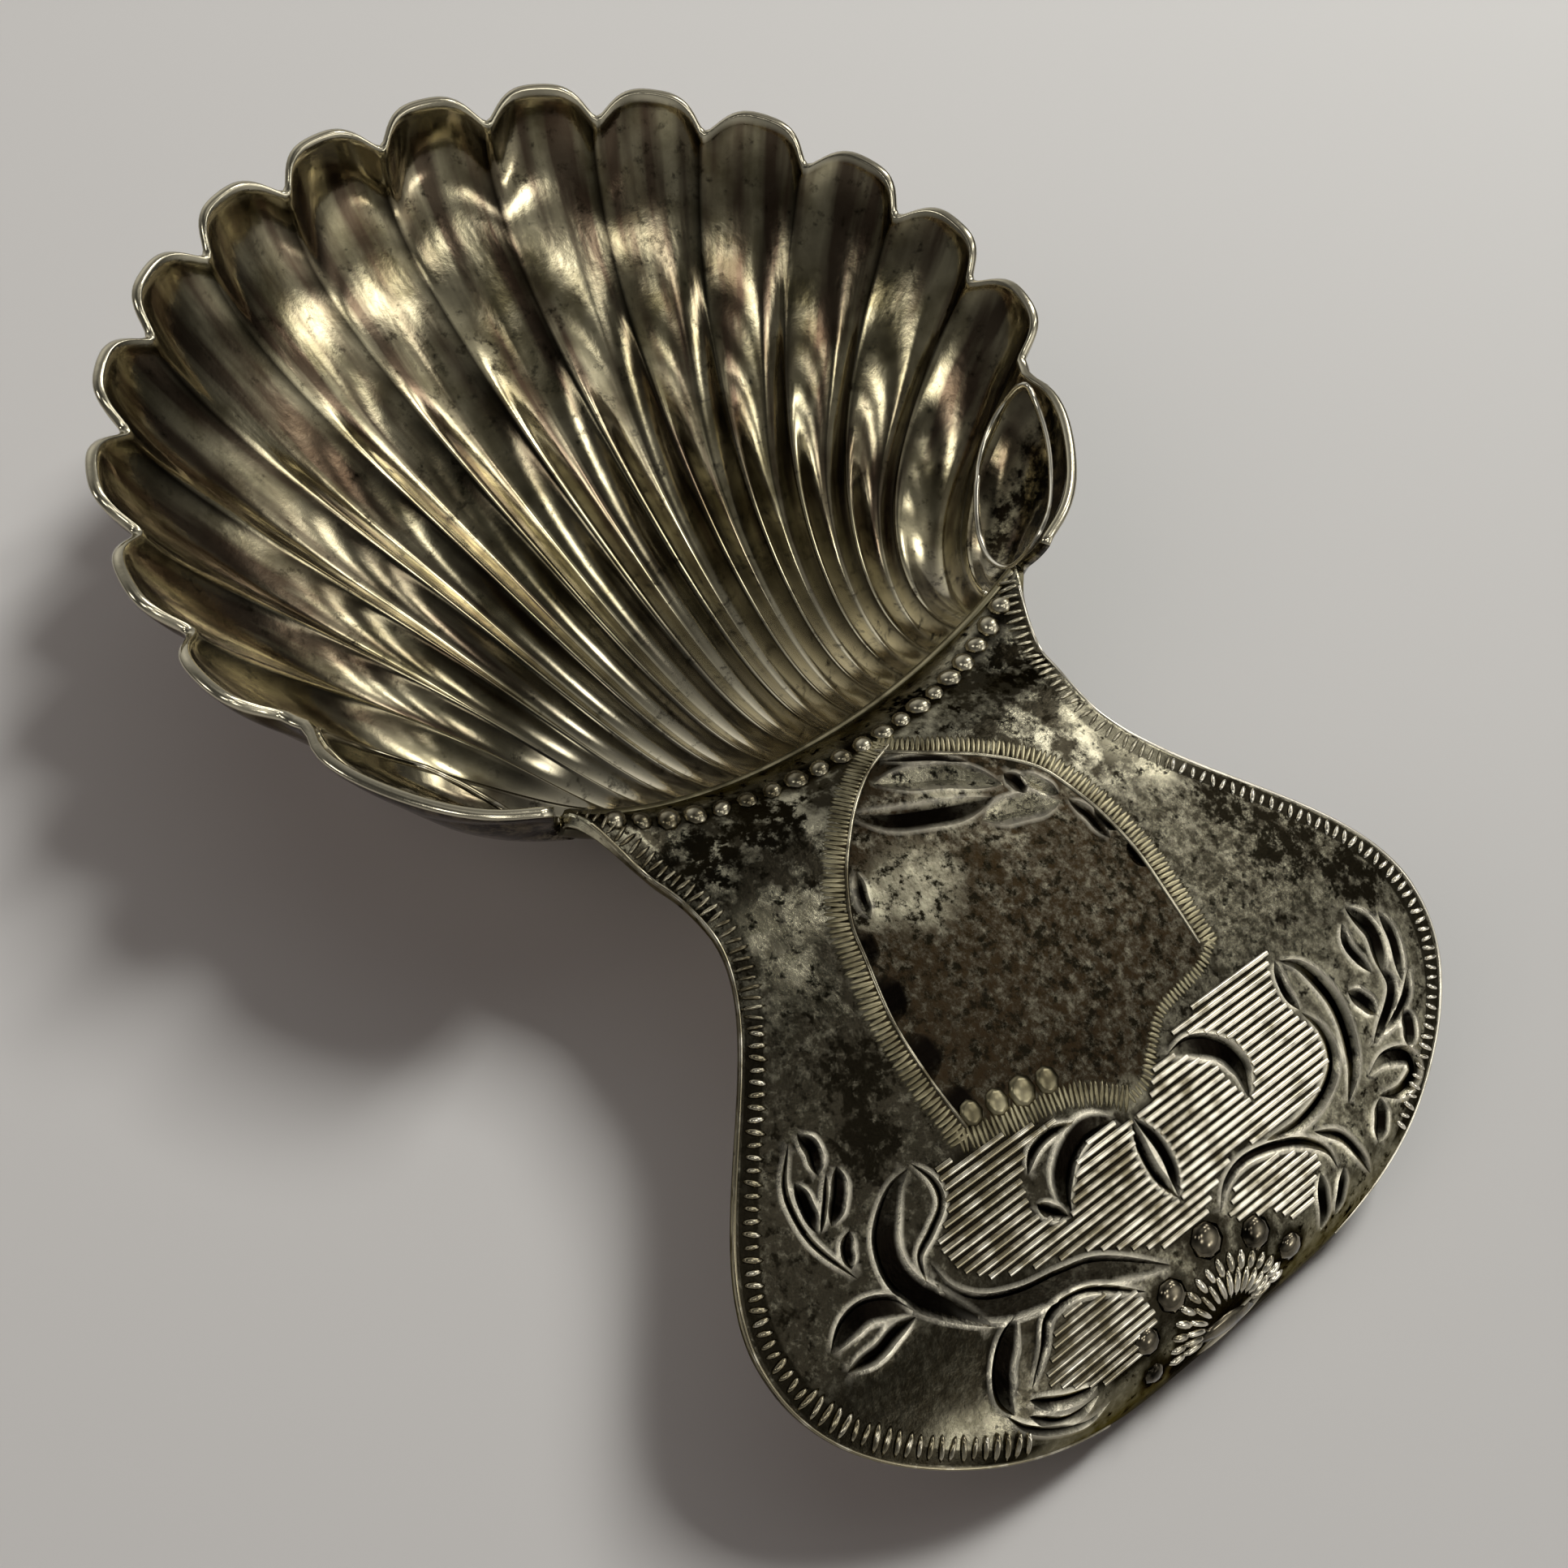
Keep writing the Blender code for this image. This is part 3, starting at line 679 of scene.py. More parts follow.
def flute_tree():
    """Stamp the flutes into the blank: each flute is a hollow between two ridges that deepens
    towards the rim, where it also lifts the edge into a lobe. Nothing goes below the table."""
    tree, node, given = new_tree("stamp_flutes", FLUTE_SIZES)
    place = node(STORED, "flute_place", data_type="FLOAT")
    along = node(STORED, "flute_along", data_type="FLOAT")
    press = node(STORED, "press", data_type="FLOAT_VECTOR")
    part = node(MATH, place, operation="FRACT")
    twice = node(MATH, part, 2.0, -1.0, operation="MULTIPLY_ADD")
    off_middle = node(MATH, twice, operation="ABSOLUTE")
    # The crest of each ridge is rounded: the way from it goes through a root of squares
    from_crest = node(MATH, 1.0, off_middle, operation="SUBTRACT")
    crest = node(MATH, given["Crest round"], given["Crest round"], operation="MULTIPLY")
    squares = node(MATH, from_crest, from_crest, crest, operation="MULTIPLY_ADD")
    root = node(MATH, squares, operation="SQRT")
    eased = node(MATH, root, given["Crest round"], operation="SUBTRACT")
    rounded = node(MATH, 1.0, eased, operation="SUBTRACT")
    near_rim = node(RANGE, along, given["Rim from"], interpolation_type="SMOOTHSTEP")
    power = node(MIX, near_rim, None, given["Roundness"], given["Rim roundness"])
    wall = node(MATH, rounded, power, operation="POWER")
    hollow = node(MATH, 1.0, wall, operation="SUBTRACT")
    first_ear = node(MATH, place, 1.0, operation="LESS_THAN")
    last = node(MATH, given["Lobe count"], 1.0, operation="ADD")
    last_ear = node(MATH, place, last, operation="GREATER_THAN")
    ear = node(MATH, first_ear, last_ear, operation="MAXIMUM")
    reach = node(MIX, ear, None, given["Lobe reach"], given["Ear reach"])
    rise = node(MIX, ear, None, given["Lobe rise"], given["Ear rise"])
    # Flutes are deepest on the wall, half-way up
    deepen = node(MIX, along, None, given["Heel share"], 1.0)
    below_rim = node(MATH, 1.0, along, operation="SUBTRACT")
    wall_way = node(MATH, along, below_rim, operation="MULTIPLY")
    wall_way = node(MATH, wall_way, 4.0, operation="MULTIPLY")
    deepen = node(MATH, wall_way, given["Wall share"], deepen, operation="MULTIPLY_ADD")
    lip = node(RANGE, along, None, given["Lip share"], interpolation_type="SMOOTHSTEP")
    lobe = node(RANGE, along, given["Rise from"], interpolation_type="SMOOTHSTEP")
    bulge = hollow
    for factor in (reach, deepen, lip):
        bulge = node(MATH, bulge, factor, operation="MULTIPLY")
    # A raised bead borders each ear on the side of the flutes
    far_end = node(MATH, given["Lobe count"], 2.0, operation="ADD")
    from_end = node(MATH, far_end, place, operation="SUBTRACT")
    ear_place = node(MATH, place, from_end, operation="MINIMUM")
    off_ridge = node(MATH, ear_place, given["Ear ridge at"], operation="SUBTRACT")
    off_ridge = node(MATH, off_ridge, given["Ear ridge width"], operation="DIVIDE")
    fall = node(MATH, off_ridge, off_ridge, operation="MULTIPLY")
    fall = node(MATH, 1.0, fall, operation="ADD")
    bead = node(MATH, given["Ear ridge height"], fall, operation="DIVIDE")
    near_ear = node(MATH, ear_place, given["Ear ridge end"], operation="LESS_THAN")
    for factor in (lip, near_ear):
        bead = node(MATH, bead, factor, operation="MULTIPLY")
    bulge = node(MATH, bulge, bead, operation="SUBTRACT")
    lift = hollow
    for factor in (rise, lobe):
        lift = node(MATH, lift, factor, operation="MULTIPLY")
    outwards = node(VECTOR, press, named={"Scale": bulge}, operation="SCALE")
    push = node(VECTOR, outwards, node(COMBINE, None, None, lift), operation="ADD")
    kept = node("GeometryNodeStoreNamedAttribute", given["Geometry"], None, "flute_hollow", hollow,
                data_type="FLOAT", domain="POINT")
    stamped = node("GeometryNodeSetPosition", kept, named={"Offset": push})
    spot = node("ShaderNodeSeparateXYZ", node("GeometryNodeInputPosition")).node.outputs
    worn = node(COMBINE, spot[0], spot[1], node(MATH, spot[2], 0.0, operation="MAXIMUM"))
    end_tree(node, node("GeometryNodeSetPosition", stamped, None, worn), given["Material"])
    return tree


def shell_bowl(material):
    points, faces, values = bowl_blank()
    mesh = plain_mesh("bowl_blank", points - FRAME_ORIGIN, faces)
    add_attributes(mesh, values)
    return grown_object("fluted_bowl", mesh, flute_tree(), {**FLUTE_SIZES, "Material": material})


def ear_beads(bowl, ridges, material):
    """A raised oval line on each ear, laid on the stamped sheet."""
    corners = [vertex.co for vertex in bowl.data.vertices]
    sheet = BVHTree.FromPolygons(corners, [face.vertices[:] for face in bowl.data.polygons])
    middle = (JOINT_ANGLE + EAR_NOTCH_ANGLE) / 2.0
    turn = np.radians(np.linspace(0.0, 357.0, 80))
    tangent = EAR_BEAD_LENGTH / 2.0 * np.cos(turn)
    radial = EAR_BEAD_RADIUS + EAR_BEAD_WIDTH / 2.0 * np.sin(turn)
    x = radial * math.cos(middle) - tangent * math.sin(middle) - FRAME_ORIGIN[0]
    y = radial * math.sin(middle) + tangent * math.cos(middle)
    points, out, edges = [], [], []
    for side in (1.0, -1.0):
        start = len(points)
        for spot_x, spot_y in zip(x, side * y):
            above = Vector((spot_x, spot_y, ABOVE_SPOON))
            place, normal, _, _ = sheet.ray_cast(above, Vector((0.0, 0.0, -1.0)))
            points.append(tuple(place))
            out.append(tuple(normal))
        edges += [(i, i + 1) for i in range(start, len(points) - 1)]
        edges.append((len(points) - 1, start))
    mesh = plain_mesh("guide", points, [], edges)
    add_attributes(mesh, {"out": np.array(out), "size": np.ones(len(points))})
    sizes = {"Radius": EAR_BEAD_THICKNESS / 2.0, "Sink": EAR_BEAD_THICKNESS / 6.0, "Material": material}
    return grown_object("ear_beads", mesh, ridges, sizes)


# Handle sheet

def middle_line(distance):
    """X and Z of the handle's middle line at a distance from the joint."""
    start_x, _ = joint_point(0.0)
    x = np.full_like(distance, start_x)
    z = np.full_like(distance, dish_height(np.array(start_x), np.array(0.0)))
    slope, passed = JOINT_SLOPE, 0.0
    for length, end_slope in HANDLE_ARCS:
        run = np.clip(distance - passed, 0.0, length)
        turn = (end_slope - slope) / length
        x = x + (np.sin(slope + turn * run) - math.sin(slope)) / turn
        z = z - (np.cos(slope + turn * run) - math.cos(slope)) / turn
        slope, passed = end_slope, passed + length
    return x, z


def half_width(distance):
    """Half width of the handle: in from the joint to a waist, out to wings, in to the tip."""
    _, joint_half_width = joint_point(1.0)
    to_waist = np.clip(1.0 - distance / WAIST_AT, 0.0, 1.0)
    to_tip = np.clip((distance - WING_AT) / (HANDLE_LENGTH - WING_AT), 0.0, 1.0)
    waist = WAIST_HALF_WIDTH + (joint_half_width - WAIST_HALF_WIDTH) * to_waist ** WAIST_POWER
    wing = (WING_HALF_WIDTH - WAIST_HALF_WIDTH) * ease(WAIST_AT, WING_AT, distance)
    return waist + wing - (WING_HALF_WIDTH - TIP_HALF_WIDTH) * to_tip ** TIP_POWER


def handle_point(distance, y):
    """Point of the handle's upper face, from the distance along it and the way across."""
    distance = np.clip(distance, 0.0, HANDLE_LENGTH)
    across = y / half_width(distance)
    x, z = middle_line(distance)
    dished = 1.0 - ease(0.0, DISHED_SHARE * NECK_LENGTH, distance)
    heel_x, heel_y = joint_point(across)
    middle_x, _ = joint_point(0.0)
    middle_z = dish_height(np.array(middle_x), np.array(0.0))
    x = x + (heel_x - middle_x) * dished
    crown = -HANDLE_CROWN * across ** 2 * (1.0 - dished)
    z = z + crown + (dish_height(heel_x, heel_y) - middle_z) * dished
    return np.stack([x, y, z], axis=-1)


def handle_axes(distance, y):
    """Unit vectors along the handle, across it and out of its upper face."""
    step = 0.02 * MM
    along = unit(handle_point(distance + step, y) - handle_point(distance - step, y))
    across = unit(handle_point(distance, y + step) - handle_point(distance, y - step))
    return along, across, unit(np.cross(along, across))


def handle_outline(inset, pitch):
    """Plan outline of the sheet as (distance, y), anticlockwise, moved in by an inset."""
    distance = np.linspace(inset, HANDLE_LENGTH - inset, int(HANDLE_LENGTH / pitch))
    side = half_width(distance) - inset
    tip = np.linspace(side[-1], -side[-1], int(2.0 * side[-1] / pitch) + 2)[1:-1]
    joint = np.linspace(-side[0], side[0], int(2.0 * side[0] / pitch) + 2)[1:-1]
    return np.concatenate([
        np.stack([distance, side], axis=-1)[::-1],
        np.stack([np.full_like(joint, inset), joint[::-1]], axis=-1),
        np.stack([distance, -side], axis=-1),
        np.stack([np.full_like(tip, HANDLE_LENGTH - inset), tip[::-1]], axis=-1),
    ])


def smooth_line(points, pitch):
    """Smooth curve through a few points, in even steps of about the pitch."""
    points = np.asarray(points, dtype=float)
    padded = np.concatenate([2.0 * points[:1] - points[1:2], points, 2.0 * points[-1:] - points[-2:-1]])
    t = np.linspace(0.0, 1.0, 24, endpoint=False)[:, None]
    runs = []
    for a, b, c, d in zip(padded, padded[1:], padded[2:], padded[3:]):
        runs.append(0.5 * (2.0 * b + (c - a) * t + (2.0 * a - 5.0 * b + 4.0 * c - d) * t ** 2
                           + (3.0 * b - a - 3.0 * c + d) * t ** 3))
    line = np.concatenate(runs + [points[-1:]])
    length = np.append(0.0, np.cumsum(np.linalg.norm(np.diff(line, axis=0), axis=-1)))
    count = max(int(length[-1] / pitch), 4)
    even = np.linspace(0.0, length[-1], count + 1)
    return np.stack([np.interp(even, length, line[:, k]) for k in (0, 1)], axis=-1)


class Cut:
    """One V-shaped cut of the graver: a deep line with a facet on each side, tapered at both ends.
    The core of the wide facet is dark with old tarnish and its lip clean, the narrow one is mostly
    clean. Stain says how dark, core how wide the dark part is, and lip how bright and high the lips."""

    def __init__(self, points, left, right, depth, stain=1.0, core=STAIN_CORE, lip=1.0):
        self.stain, self.core, self.lip = stain, core, lip
        self.line = smooth_line(np.array(points) * MM, CUT_PITCH)
        ahead = unit(np.gradient(self.line, axis=0))
        self.side = np.stack([-ahead[:, 1], ahead[:, 0]], axis=-1)
        share = np.linspace(0.0, 1.0, len(self.line))
        to_end = np.minimum(share, 1.0 - share) / TAPER_SHARE
        self.taper = np.sin(math.pi * np.clip(to_end, 0.0, 0.5)) ** TAPER_POWER
        self.left, self.right, self.depth = left * MM, right * MM, depth * MM

    def lines(self):
        """Closed outline of the cut, and the open lines in and round it along which its section bends."""
        left = self.line + self.side * (self.left * self.taper)[:, None]
        right = self.line - self.side * (self.right * self.taper)[:, None]
        outline = np.concatenate([left[:-1], self.line[-1:], right[-2:0:-1]])
        others = [self.line]
        for width, other, sign in ((self.left, self.right, 1.0), (self.right, self.left, -1.0)):
            if width < other:
                bend = CLEAN_SHARE * width * self.taper
            else:
                bend = self.core * width * self.taper - CLEAN_LIP
            kept = (self.taper > 0.4) & (bend > 0.05 * MM)
            if kept.sum() > 2:
                others.append((self.line + sign * self.side * bend[:, None])[kept])
            burr = width * self.taper + BURR_WIDTH
            kept = self.taper > 0.3
            others.append((self.line + sign * self.side * burr[:, None])[kept])
        return outline, others

    def at(self, spots):
        """Depth, tarnish, brightness and rubbing of the cut at each spot. A burr stands up along its
        lips, as a depth below zero, and is rubbed bright, and the ground beside it a little."""
        depth, tarnish, bright, rubbed = np.zeros((4, len(spots)))
        reach = max(self.left, self.right) + RUBBED_REACH
        low, high = self.line.min(axis=0) - reach, self.line.max(axis=0) + reach
        near = np.flatnonzero(((spots > low) & (spots < high)).all(axis=1))
        if len(near) == 0:
            return depth, tarnish, bright, rubbed
        start, run = self.line[:-1], np.diff(self.line, axis=0)
        offset = spots[near, None, :] - start[None]
        share = np.clip((offset * run).sum(-1) / (run ** 2).sum(-1), 0.0, 1.0)
        away = offset - share[..., None] * run
        distance = np.linalg.norm(away, axis=-1)
        best = distance.argmin(axis=1)
        rows = np.arange(len(near))
        gap = distance[rows, best]
        taper = np.interp(best + share[rows, best], np.arange(len(self.line)), self.taper)
        leftwards = (away[rows, best] * self.side[best]).sum(-1) > 0.0
        width = np.where(leftwards, self.left, self.right) * taper + 1e-9
        burr = BURR_HEIGHT * self.lip * taper
        within = self.depth * taper * (1.0 - gap / width) - burr * gap / width
        beyond = -burr * np.clip(1.0 - (gap - width) / BURR_WIDTH, 0.0, 1.0)
        depth[near] = np.where(gap < width, within, beyond)
        wide = leftwards == (self.left >= self.right)
        dark = np.where(wide, (self.core * width - gap) / CLEAN_LIP, 1.0 - gap / (CLEAN_SHARE * width))
        tarnish[near] = np.clip(dark, 0.0, 1.0) * taper * self.stain
        inner = np.where(wide, 1.0 - self.core, 1.0 - CLEAN_SHARE) * width
        lip = np.where(gap < width, 1.0 - (width - gap) / inner, 1.5 - 1.5 * (gap - width) / BURR_WIDTH)
        bright[near] = np.clip(lip, 0.0, 1.0) * taper * self.lip
        rubbed[near] = np.clip(1.0 - (gap - width) / RUBBED_REACH, 0.0, 1.0) * taper * self.lip
        return depth, tarnish, bright, rubbed


def inner_border(border, side, inset):
    """Line beside a border of the shield, moved to its inner side, in millimetres."""
    line = smooth_line(border, 0.1)
    ahead = unit(np.gradient(line, axis=0))
    return line + side * inset * np.stack([-ahead[:, 1], ahead[:, 0]], axis=-1)


def shield_petals():
    """Dark petals that line the shield's border on the inside, deepest beside it."""
    cuts = []
    for border, side, places, length, width, stain in PETAL_ROWS:
        inner = inner_border(border, side, PETAL_INSET)
        half = int(length / 0.2)
        for place in places:
            middle = int(np.abs(inner[:, 0] - place).argmin())
            points = inner[[max(middle - half, 0), middle, min(middle + half, len(inner) - 1)]]
            widths = (width, PETAL_NARROW) if side > 0.0 else (PETAL_NARROW, width)
            cuts.append(Cut(points, *widths, PETAL_DEPTH, stain, PETAL_CORE, PETAL_LIP))
    return cuts


def inside_outline(spots, corners):
    """Which spots lie inside a closed outline."""
    corners = np.asarray(corners)
    found = np.zeros(len(spots), dtype=bool)
    for a, b in zip(corners, np.roll(corners, -1, axis=0)):
        crosses = (a[1] > spots[:, 1]) != (b[1] > spots[:, 1])
        with np.errstate(divide="ignore", invalid="ignore"):
            at = a[0] + (spots[:, 1] - a[1]) * (b[0] - a[0]) / (b[1] - a[1])
        found ^= crosses & (spots[:, 0] < at)
    return found


def away_from(spots, spot):
    return np.hypot(spots[:, 0] - spot[0], spots[:, 1] - spot[1])


def distance_to_line(spots, line):
    return np.min([np.linalg.norm(spots - point, axis=-1) for point in line], axis=0)


def shield_lines():
    sides = (SHIELD_LEFT, SHIELD_RIGHT, SHIELD_FOOT_LEFT, SHIELD_FOOT_RIGHT)
    return [smooth_line(side, 0.3) for side in sides]


def joint_row(y):
    """Distance from the joint to the pearls that cover it, in millimetres."""
    return JOINT_ROW_AT - JOINT_ROW_BOW * (y / JOINT_ROW_REACH) ** 2


def joint_row_line():
    y = np.linspace(-JOINT_ROW_HALF, JOINT_ROW_HALF, 60)
    return np.stack([joint_row(y), y], axis=-1)


def hatched(spots):
    """Which spots, in millimetres, lie on the hatched ground round the scrolls."""
    ground = inside_outline(spots, HATCHED_FIELD)
    for leaf in (SPEAR_FIELD, LEFT_CRESCENT_FIELD, RIGHT_CRESCENT_FIELD):
        ground &= ~inside_outline(spots, leaf)
    return ground | inside_outline(spots, HATCHED_LEFT_OVAL) | inside_outline(spots, HATCHED_RIGHT_OVAL)


def tarnish_zones(spots):
    """Where dark stays between close work, where the tail's upper left is painted dark as a painted
    dark reflection, brown stays in the shield's field, soot gathers, the metal is pale (rubbed, and at
    the neck's edges and near the tail painted highlights and glints), and the film is thick (on the left
    and towards the tail) or even (on the wings)."""
    spots = spots / MM
    along, across = spots.T
    corners = np.concatenate([SHIELD_LEFT, SHIELD_FOOT_LEFT, SHIELD_FOOT_RIGHT[::-1], SHIELD_RIGHT[::-1]])
    field = inside_outline(spots, corners).astype(float)
    tail = ease(*TAIL_ALONG, along) * ease(*TAIL_ACROSS, across)
    edge = half_width(along * MM) / MM - np.abs(across)
    end = np.where(across > 0.0, RIGHT_BORDER_END, LEFT_BORDER_END)
    border = ease(*PLAIN_EDGE, edge) * (1.0 - ease(*BORDER_END, edge))
    border *= 0.6 + 0.4 * ease(*NECK_BORDER_FADE, along)
    border *= 1.0 - ease(end, end + 0.5, along)
    # The tail's share is a painted dark reflection on its polished upper left, fading out before the glint
    close_and_tail_shade = [border, hatched(spots), 0.88 * tail * (1.0 - ease(*TAIL_FADE, along))]
    for line in shield_lines():
        close_and_tail_shade.append(0.25 * (1.0 - ease(*SHIELD_BAND, distance_to_line(spots, line))))
    close_and_tail_shade.append(1.0 - ease(*PEARL_BAND, distance_to_line(spots, joint_row_line())))
    close_and_tail_shade.append(1.0 - ease(*FLOWER_BAND, away_from(spots, FLOWER_CENTRE)))
    for berry in BERRIES:
        close_and_tail_shade.append(1.0 - ease(*BERRY_BAND, away_from(spots, berry) - berry[2]))
    soot = [0.25 - 0.5 * tail, 0.38 * field]
    for patch in SOOT_PATCHES:
        soot.append(1.0 - ease(*SOOT_FADE, away_from(spots, patch) / patch[2]))
    pearls = joint_row(across)
    lower_neck = ease(*NECK_FOOT, along) * (1.0 - ease(pearls - 1.1, pearls - 0.6, along))
    pale = [0.7 * lower_neck, 0.75 * ease(end - 0.5, end + 1.0, along)]
    for patch in PALE_AND_GLINT_PATCHES:
        pale.append(1.0 - ease(*PALE_FADE, away_from(spots, patch) / patch[2]))
    left = ease(*FILM_ALONG, along) * ease(*FILM_ACROSS, across)
    return {
        "close_work_and_tail_shade": np.max(close_and_tail_shade, axis=0),
        "shield_field": field,
        "soot": np.max(soot, axis=0),
        "pale": np.max(pale, axis=0),
        "thick_film": THIN_FILM + (THICK_FILM - THIN_FILM) * left,
        "even_film": ease(*EVEN_ALONG, along),
    }


def handle_sheet(material):
    """The handle's sheet: engraved upper face, rounded edge and lower face."""
    outline = handle_outline(EDGE_ROUND, OUTLINE_PITCH)
    count = len(outline)
    pitch = GROUND_PITCH
    rows_across = int(WING_HALF_WIDTH / pitch) + 1
    grid_s, grid_y = np.meshgrid(
        np.arange(pitch, HANDLE_LENGTH, pitch),
        np.arange(-rows_across, rows_across + 1) * pitch,
        indexing="ij",
    )
    grid_y = grid_y + np.where(np.arange(len(grid_s))[:, None] % 2 == 0, 0.0, pitch / 2.0)
    inside = np.abs(grid_y) < half_width(grid_s) - EDGE_ROUND - 0.4 * pitch
    ground = np.stack([grid_s[inside], grid_y[inside]], axis=-1)
    cuts = [Cut(*numbers) for numbers in SCROLL_CUTS + CRESCENT_CUTS + LEAF_CUTS] + shield_petals()
    cuts += [Cut(*numbers, lip=SHIELD_LIP) for numbers in SHIELD_STROKES]
    cuts += [Cut(*numbers, stain=FACET_STAIN, lip=SHIELD_LIP) for numbers in SHIELD_FACETS]
    clear = np.ones(len(ground), dtype=bool)
    for cut in cuts:
        clear &= cut.at(ground)[0] == 0.0
    flat = [outline, ground[clear]]
    used = len(outline) + int(clear.sum())
    edges = [(i, (i + 1) % count) for i in range(count)]
    lines = [(handle_outline(inset * MM, OUTLINE_PITCH), True) for inset in PLAIN_EDGE + BORDER_END]
    for cut in cuts:
        border, inner = cut.lines()
        lines += [(border, True)] + [(line, False) for line in inner]
    for line, closed in lines:
        chain = np.arange(used, used + len(line))
        edges += list(zip(chain, chain[1:]))
        if closed:
            edges.append((chain[-1], chain[0]))
        flat.append(line)
        used += len(line)
    flat = np.concatenate(flat) / MM
    edges = [(int(a), int(b)) for a, b in edges]
    spots, _, triangles, _, _, _ = delaunay_2d_cdt([Vector(p) for p in flat], edges, [], 1, 1e-4)
    spots = np.array([tuple(p) for p in spots]) * MM
    sections = [cut.at(spots) for cut in cuts]
    depths, tarnishes, brights, rubs = np.moveaxis(np.array(sections), 1, 0)
    deepest = depths.max(axis=0)
    depth = np.where(deepest > 0.0, deepest, depths.min(axis=0))
    values = tarnish_zones(spots)
    values["cut_tarnish"] = tarnishes.max(axis=0)
    values["cut_bright"] = brights.max(axis=0) * (1.0 - values["cut_tarnish"])
    cleaned = (depths[-len(SHIELD_FACETS):] > 0.0).any(axis=0)
    values["shield_field"] = np.where(cleaned, 0.0, values["shield_field"])
    along, across = spots.T / MM
    right_wing = ease(*RIGHT_WING_ACROSS, across) * ease(*RIGHT_WING_ALONG, along)
    pale = np.where(cleaned, FACET_PALE, values["pale"])
    values["pale"] = np.maximum(pale, rubs.max(axis=0) * right_wing)
    _, _, normal = handle_axes(spots[:, 0], spots[:, 1])
    face = handle_point(spots[:, 0], spots[:, 1])
    top = face - normal * depth[:, None]
    low = face - normal * HANDLE_SHEET
    faces = [tuple(t) for t in triangles]
    total = len(top)
    faces += [tuple(i + total for i in reversed(t)) for t in triangles]
    points = [top, low]
    # Rounded edge: rings of points from the upper face's border round to the lower one's
    ring_base = top[:count]
    ahead = np.roll(ring_base, -1, axis=0) - np.roll(ring_base, 1, axis=0)
    out = unit(np.cross(unit(ahead), normal[:count]))
    rings = [np.arange(count)]
    used = 2 * total
    turns = np.radians([30.0, 60.0, 90.0])
    for drop, angles in ((0.0, turns), (HANDLE_SHEET, turns[::-1])):
        for angle in angles:
            fall = EDGE_ROUND * (1.0 - math.cos(angle))
            level = fall if drop == 0.0 else drop - fall
            points.append(ring_base + out * EDGE_ROUND * math.sin(angle) - normal[:count] * level)
            rings.append(np.arange(used, used + count))
            used += count
    rings.append(np.arange(total, total + count))
    for upper, lower in zip(rings, rings[1:]):
        for i in range(count):
            k = (i + 1) % count
            faces.append((upper[i], lower[i], lower[k], upper[k]))
    mesh = plain_mesh("engraved_handle", np.concatenate(points) - FRAME_ORIGIN, faces)
    for name, array in values.items():
        values[name] = np.append(array, np.full(used - total, UNDERSIDE.get(name, 0.0)))
    add_attributes(mesh, values)
    mesh.shade_smooth()
    mesh.set_sharp_from_angle(angle=SHARP_ANGLE)
    mesh.materials.append(material)
    return add_object("engraved_handle", mesh)


# Rows of nicks, pearls, rays and ridges that follow lines on the handle

def guide_mesh(lines):
    """Guide lines on the handle's upper face, given as (distance, y) in millimetres and perhaps a size,
    with the way out of the face and the way to the left of the line stored on their points."""
    points, edges, out, left, size = [], [], [], [], []
    used = 0
    for line in lines:
        distance, y, *sizes = np.asarray(line, dtype=float).T
        places = handle_point(distance * MM, y * MM)
        _, _, normal = handle_axes(distance * MM, y * MM)
        ahead = unit(np.gradient(places, axis=0))
        points.append(places - FRAME_ORIGIN)
        out.append(normal)
        left.append(unit(np.cross(normal, ahead)))
        size.append(sizes[0] if sizes else np.ones(len(line)))
        edges += [(i, i + 1) for i in range(used, used + len(line) - 1)]
        used += len(line)
    mesh = plain_mesh("guide", np.concatenate(points), [], edges)
    stored = {"out": out, "left": left, "size": size}
    add_attributes(mesh, {name: np.concatenate(arrays) for name, arrays in stored.items()})
    return mesh


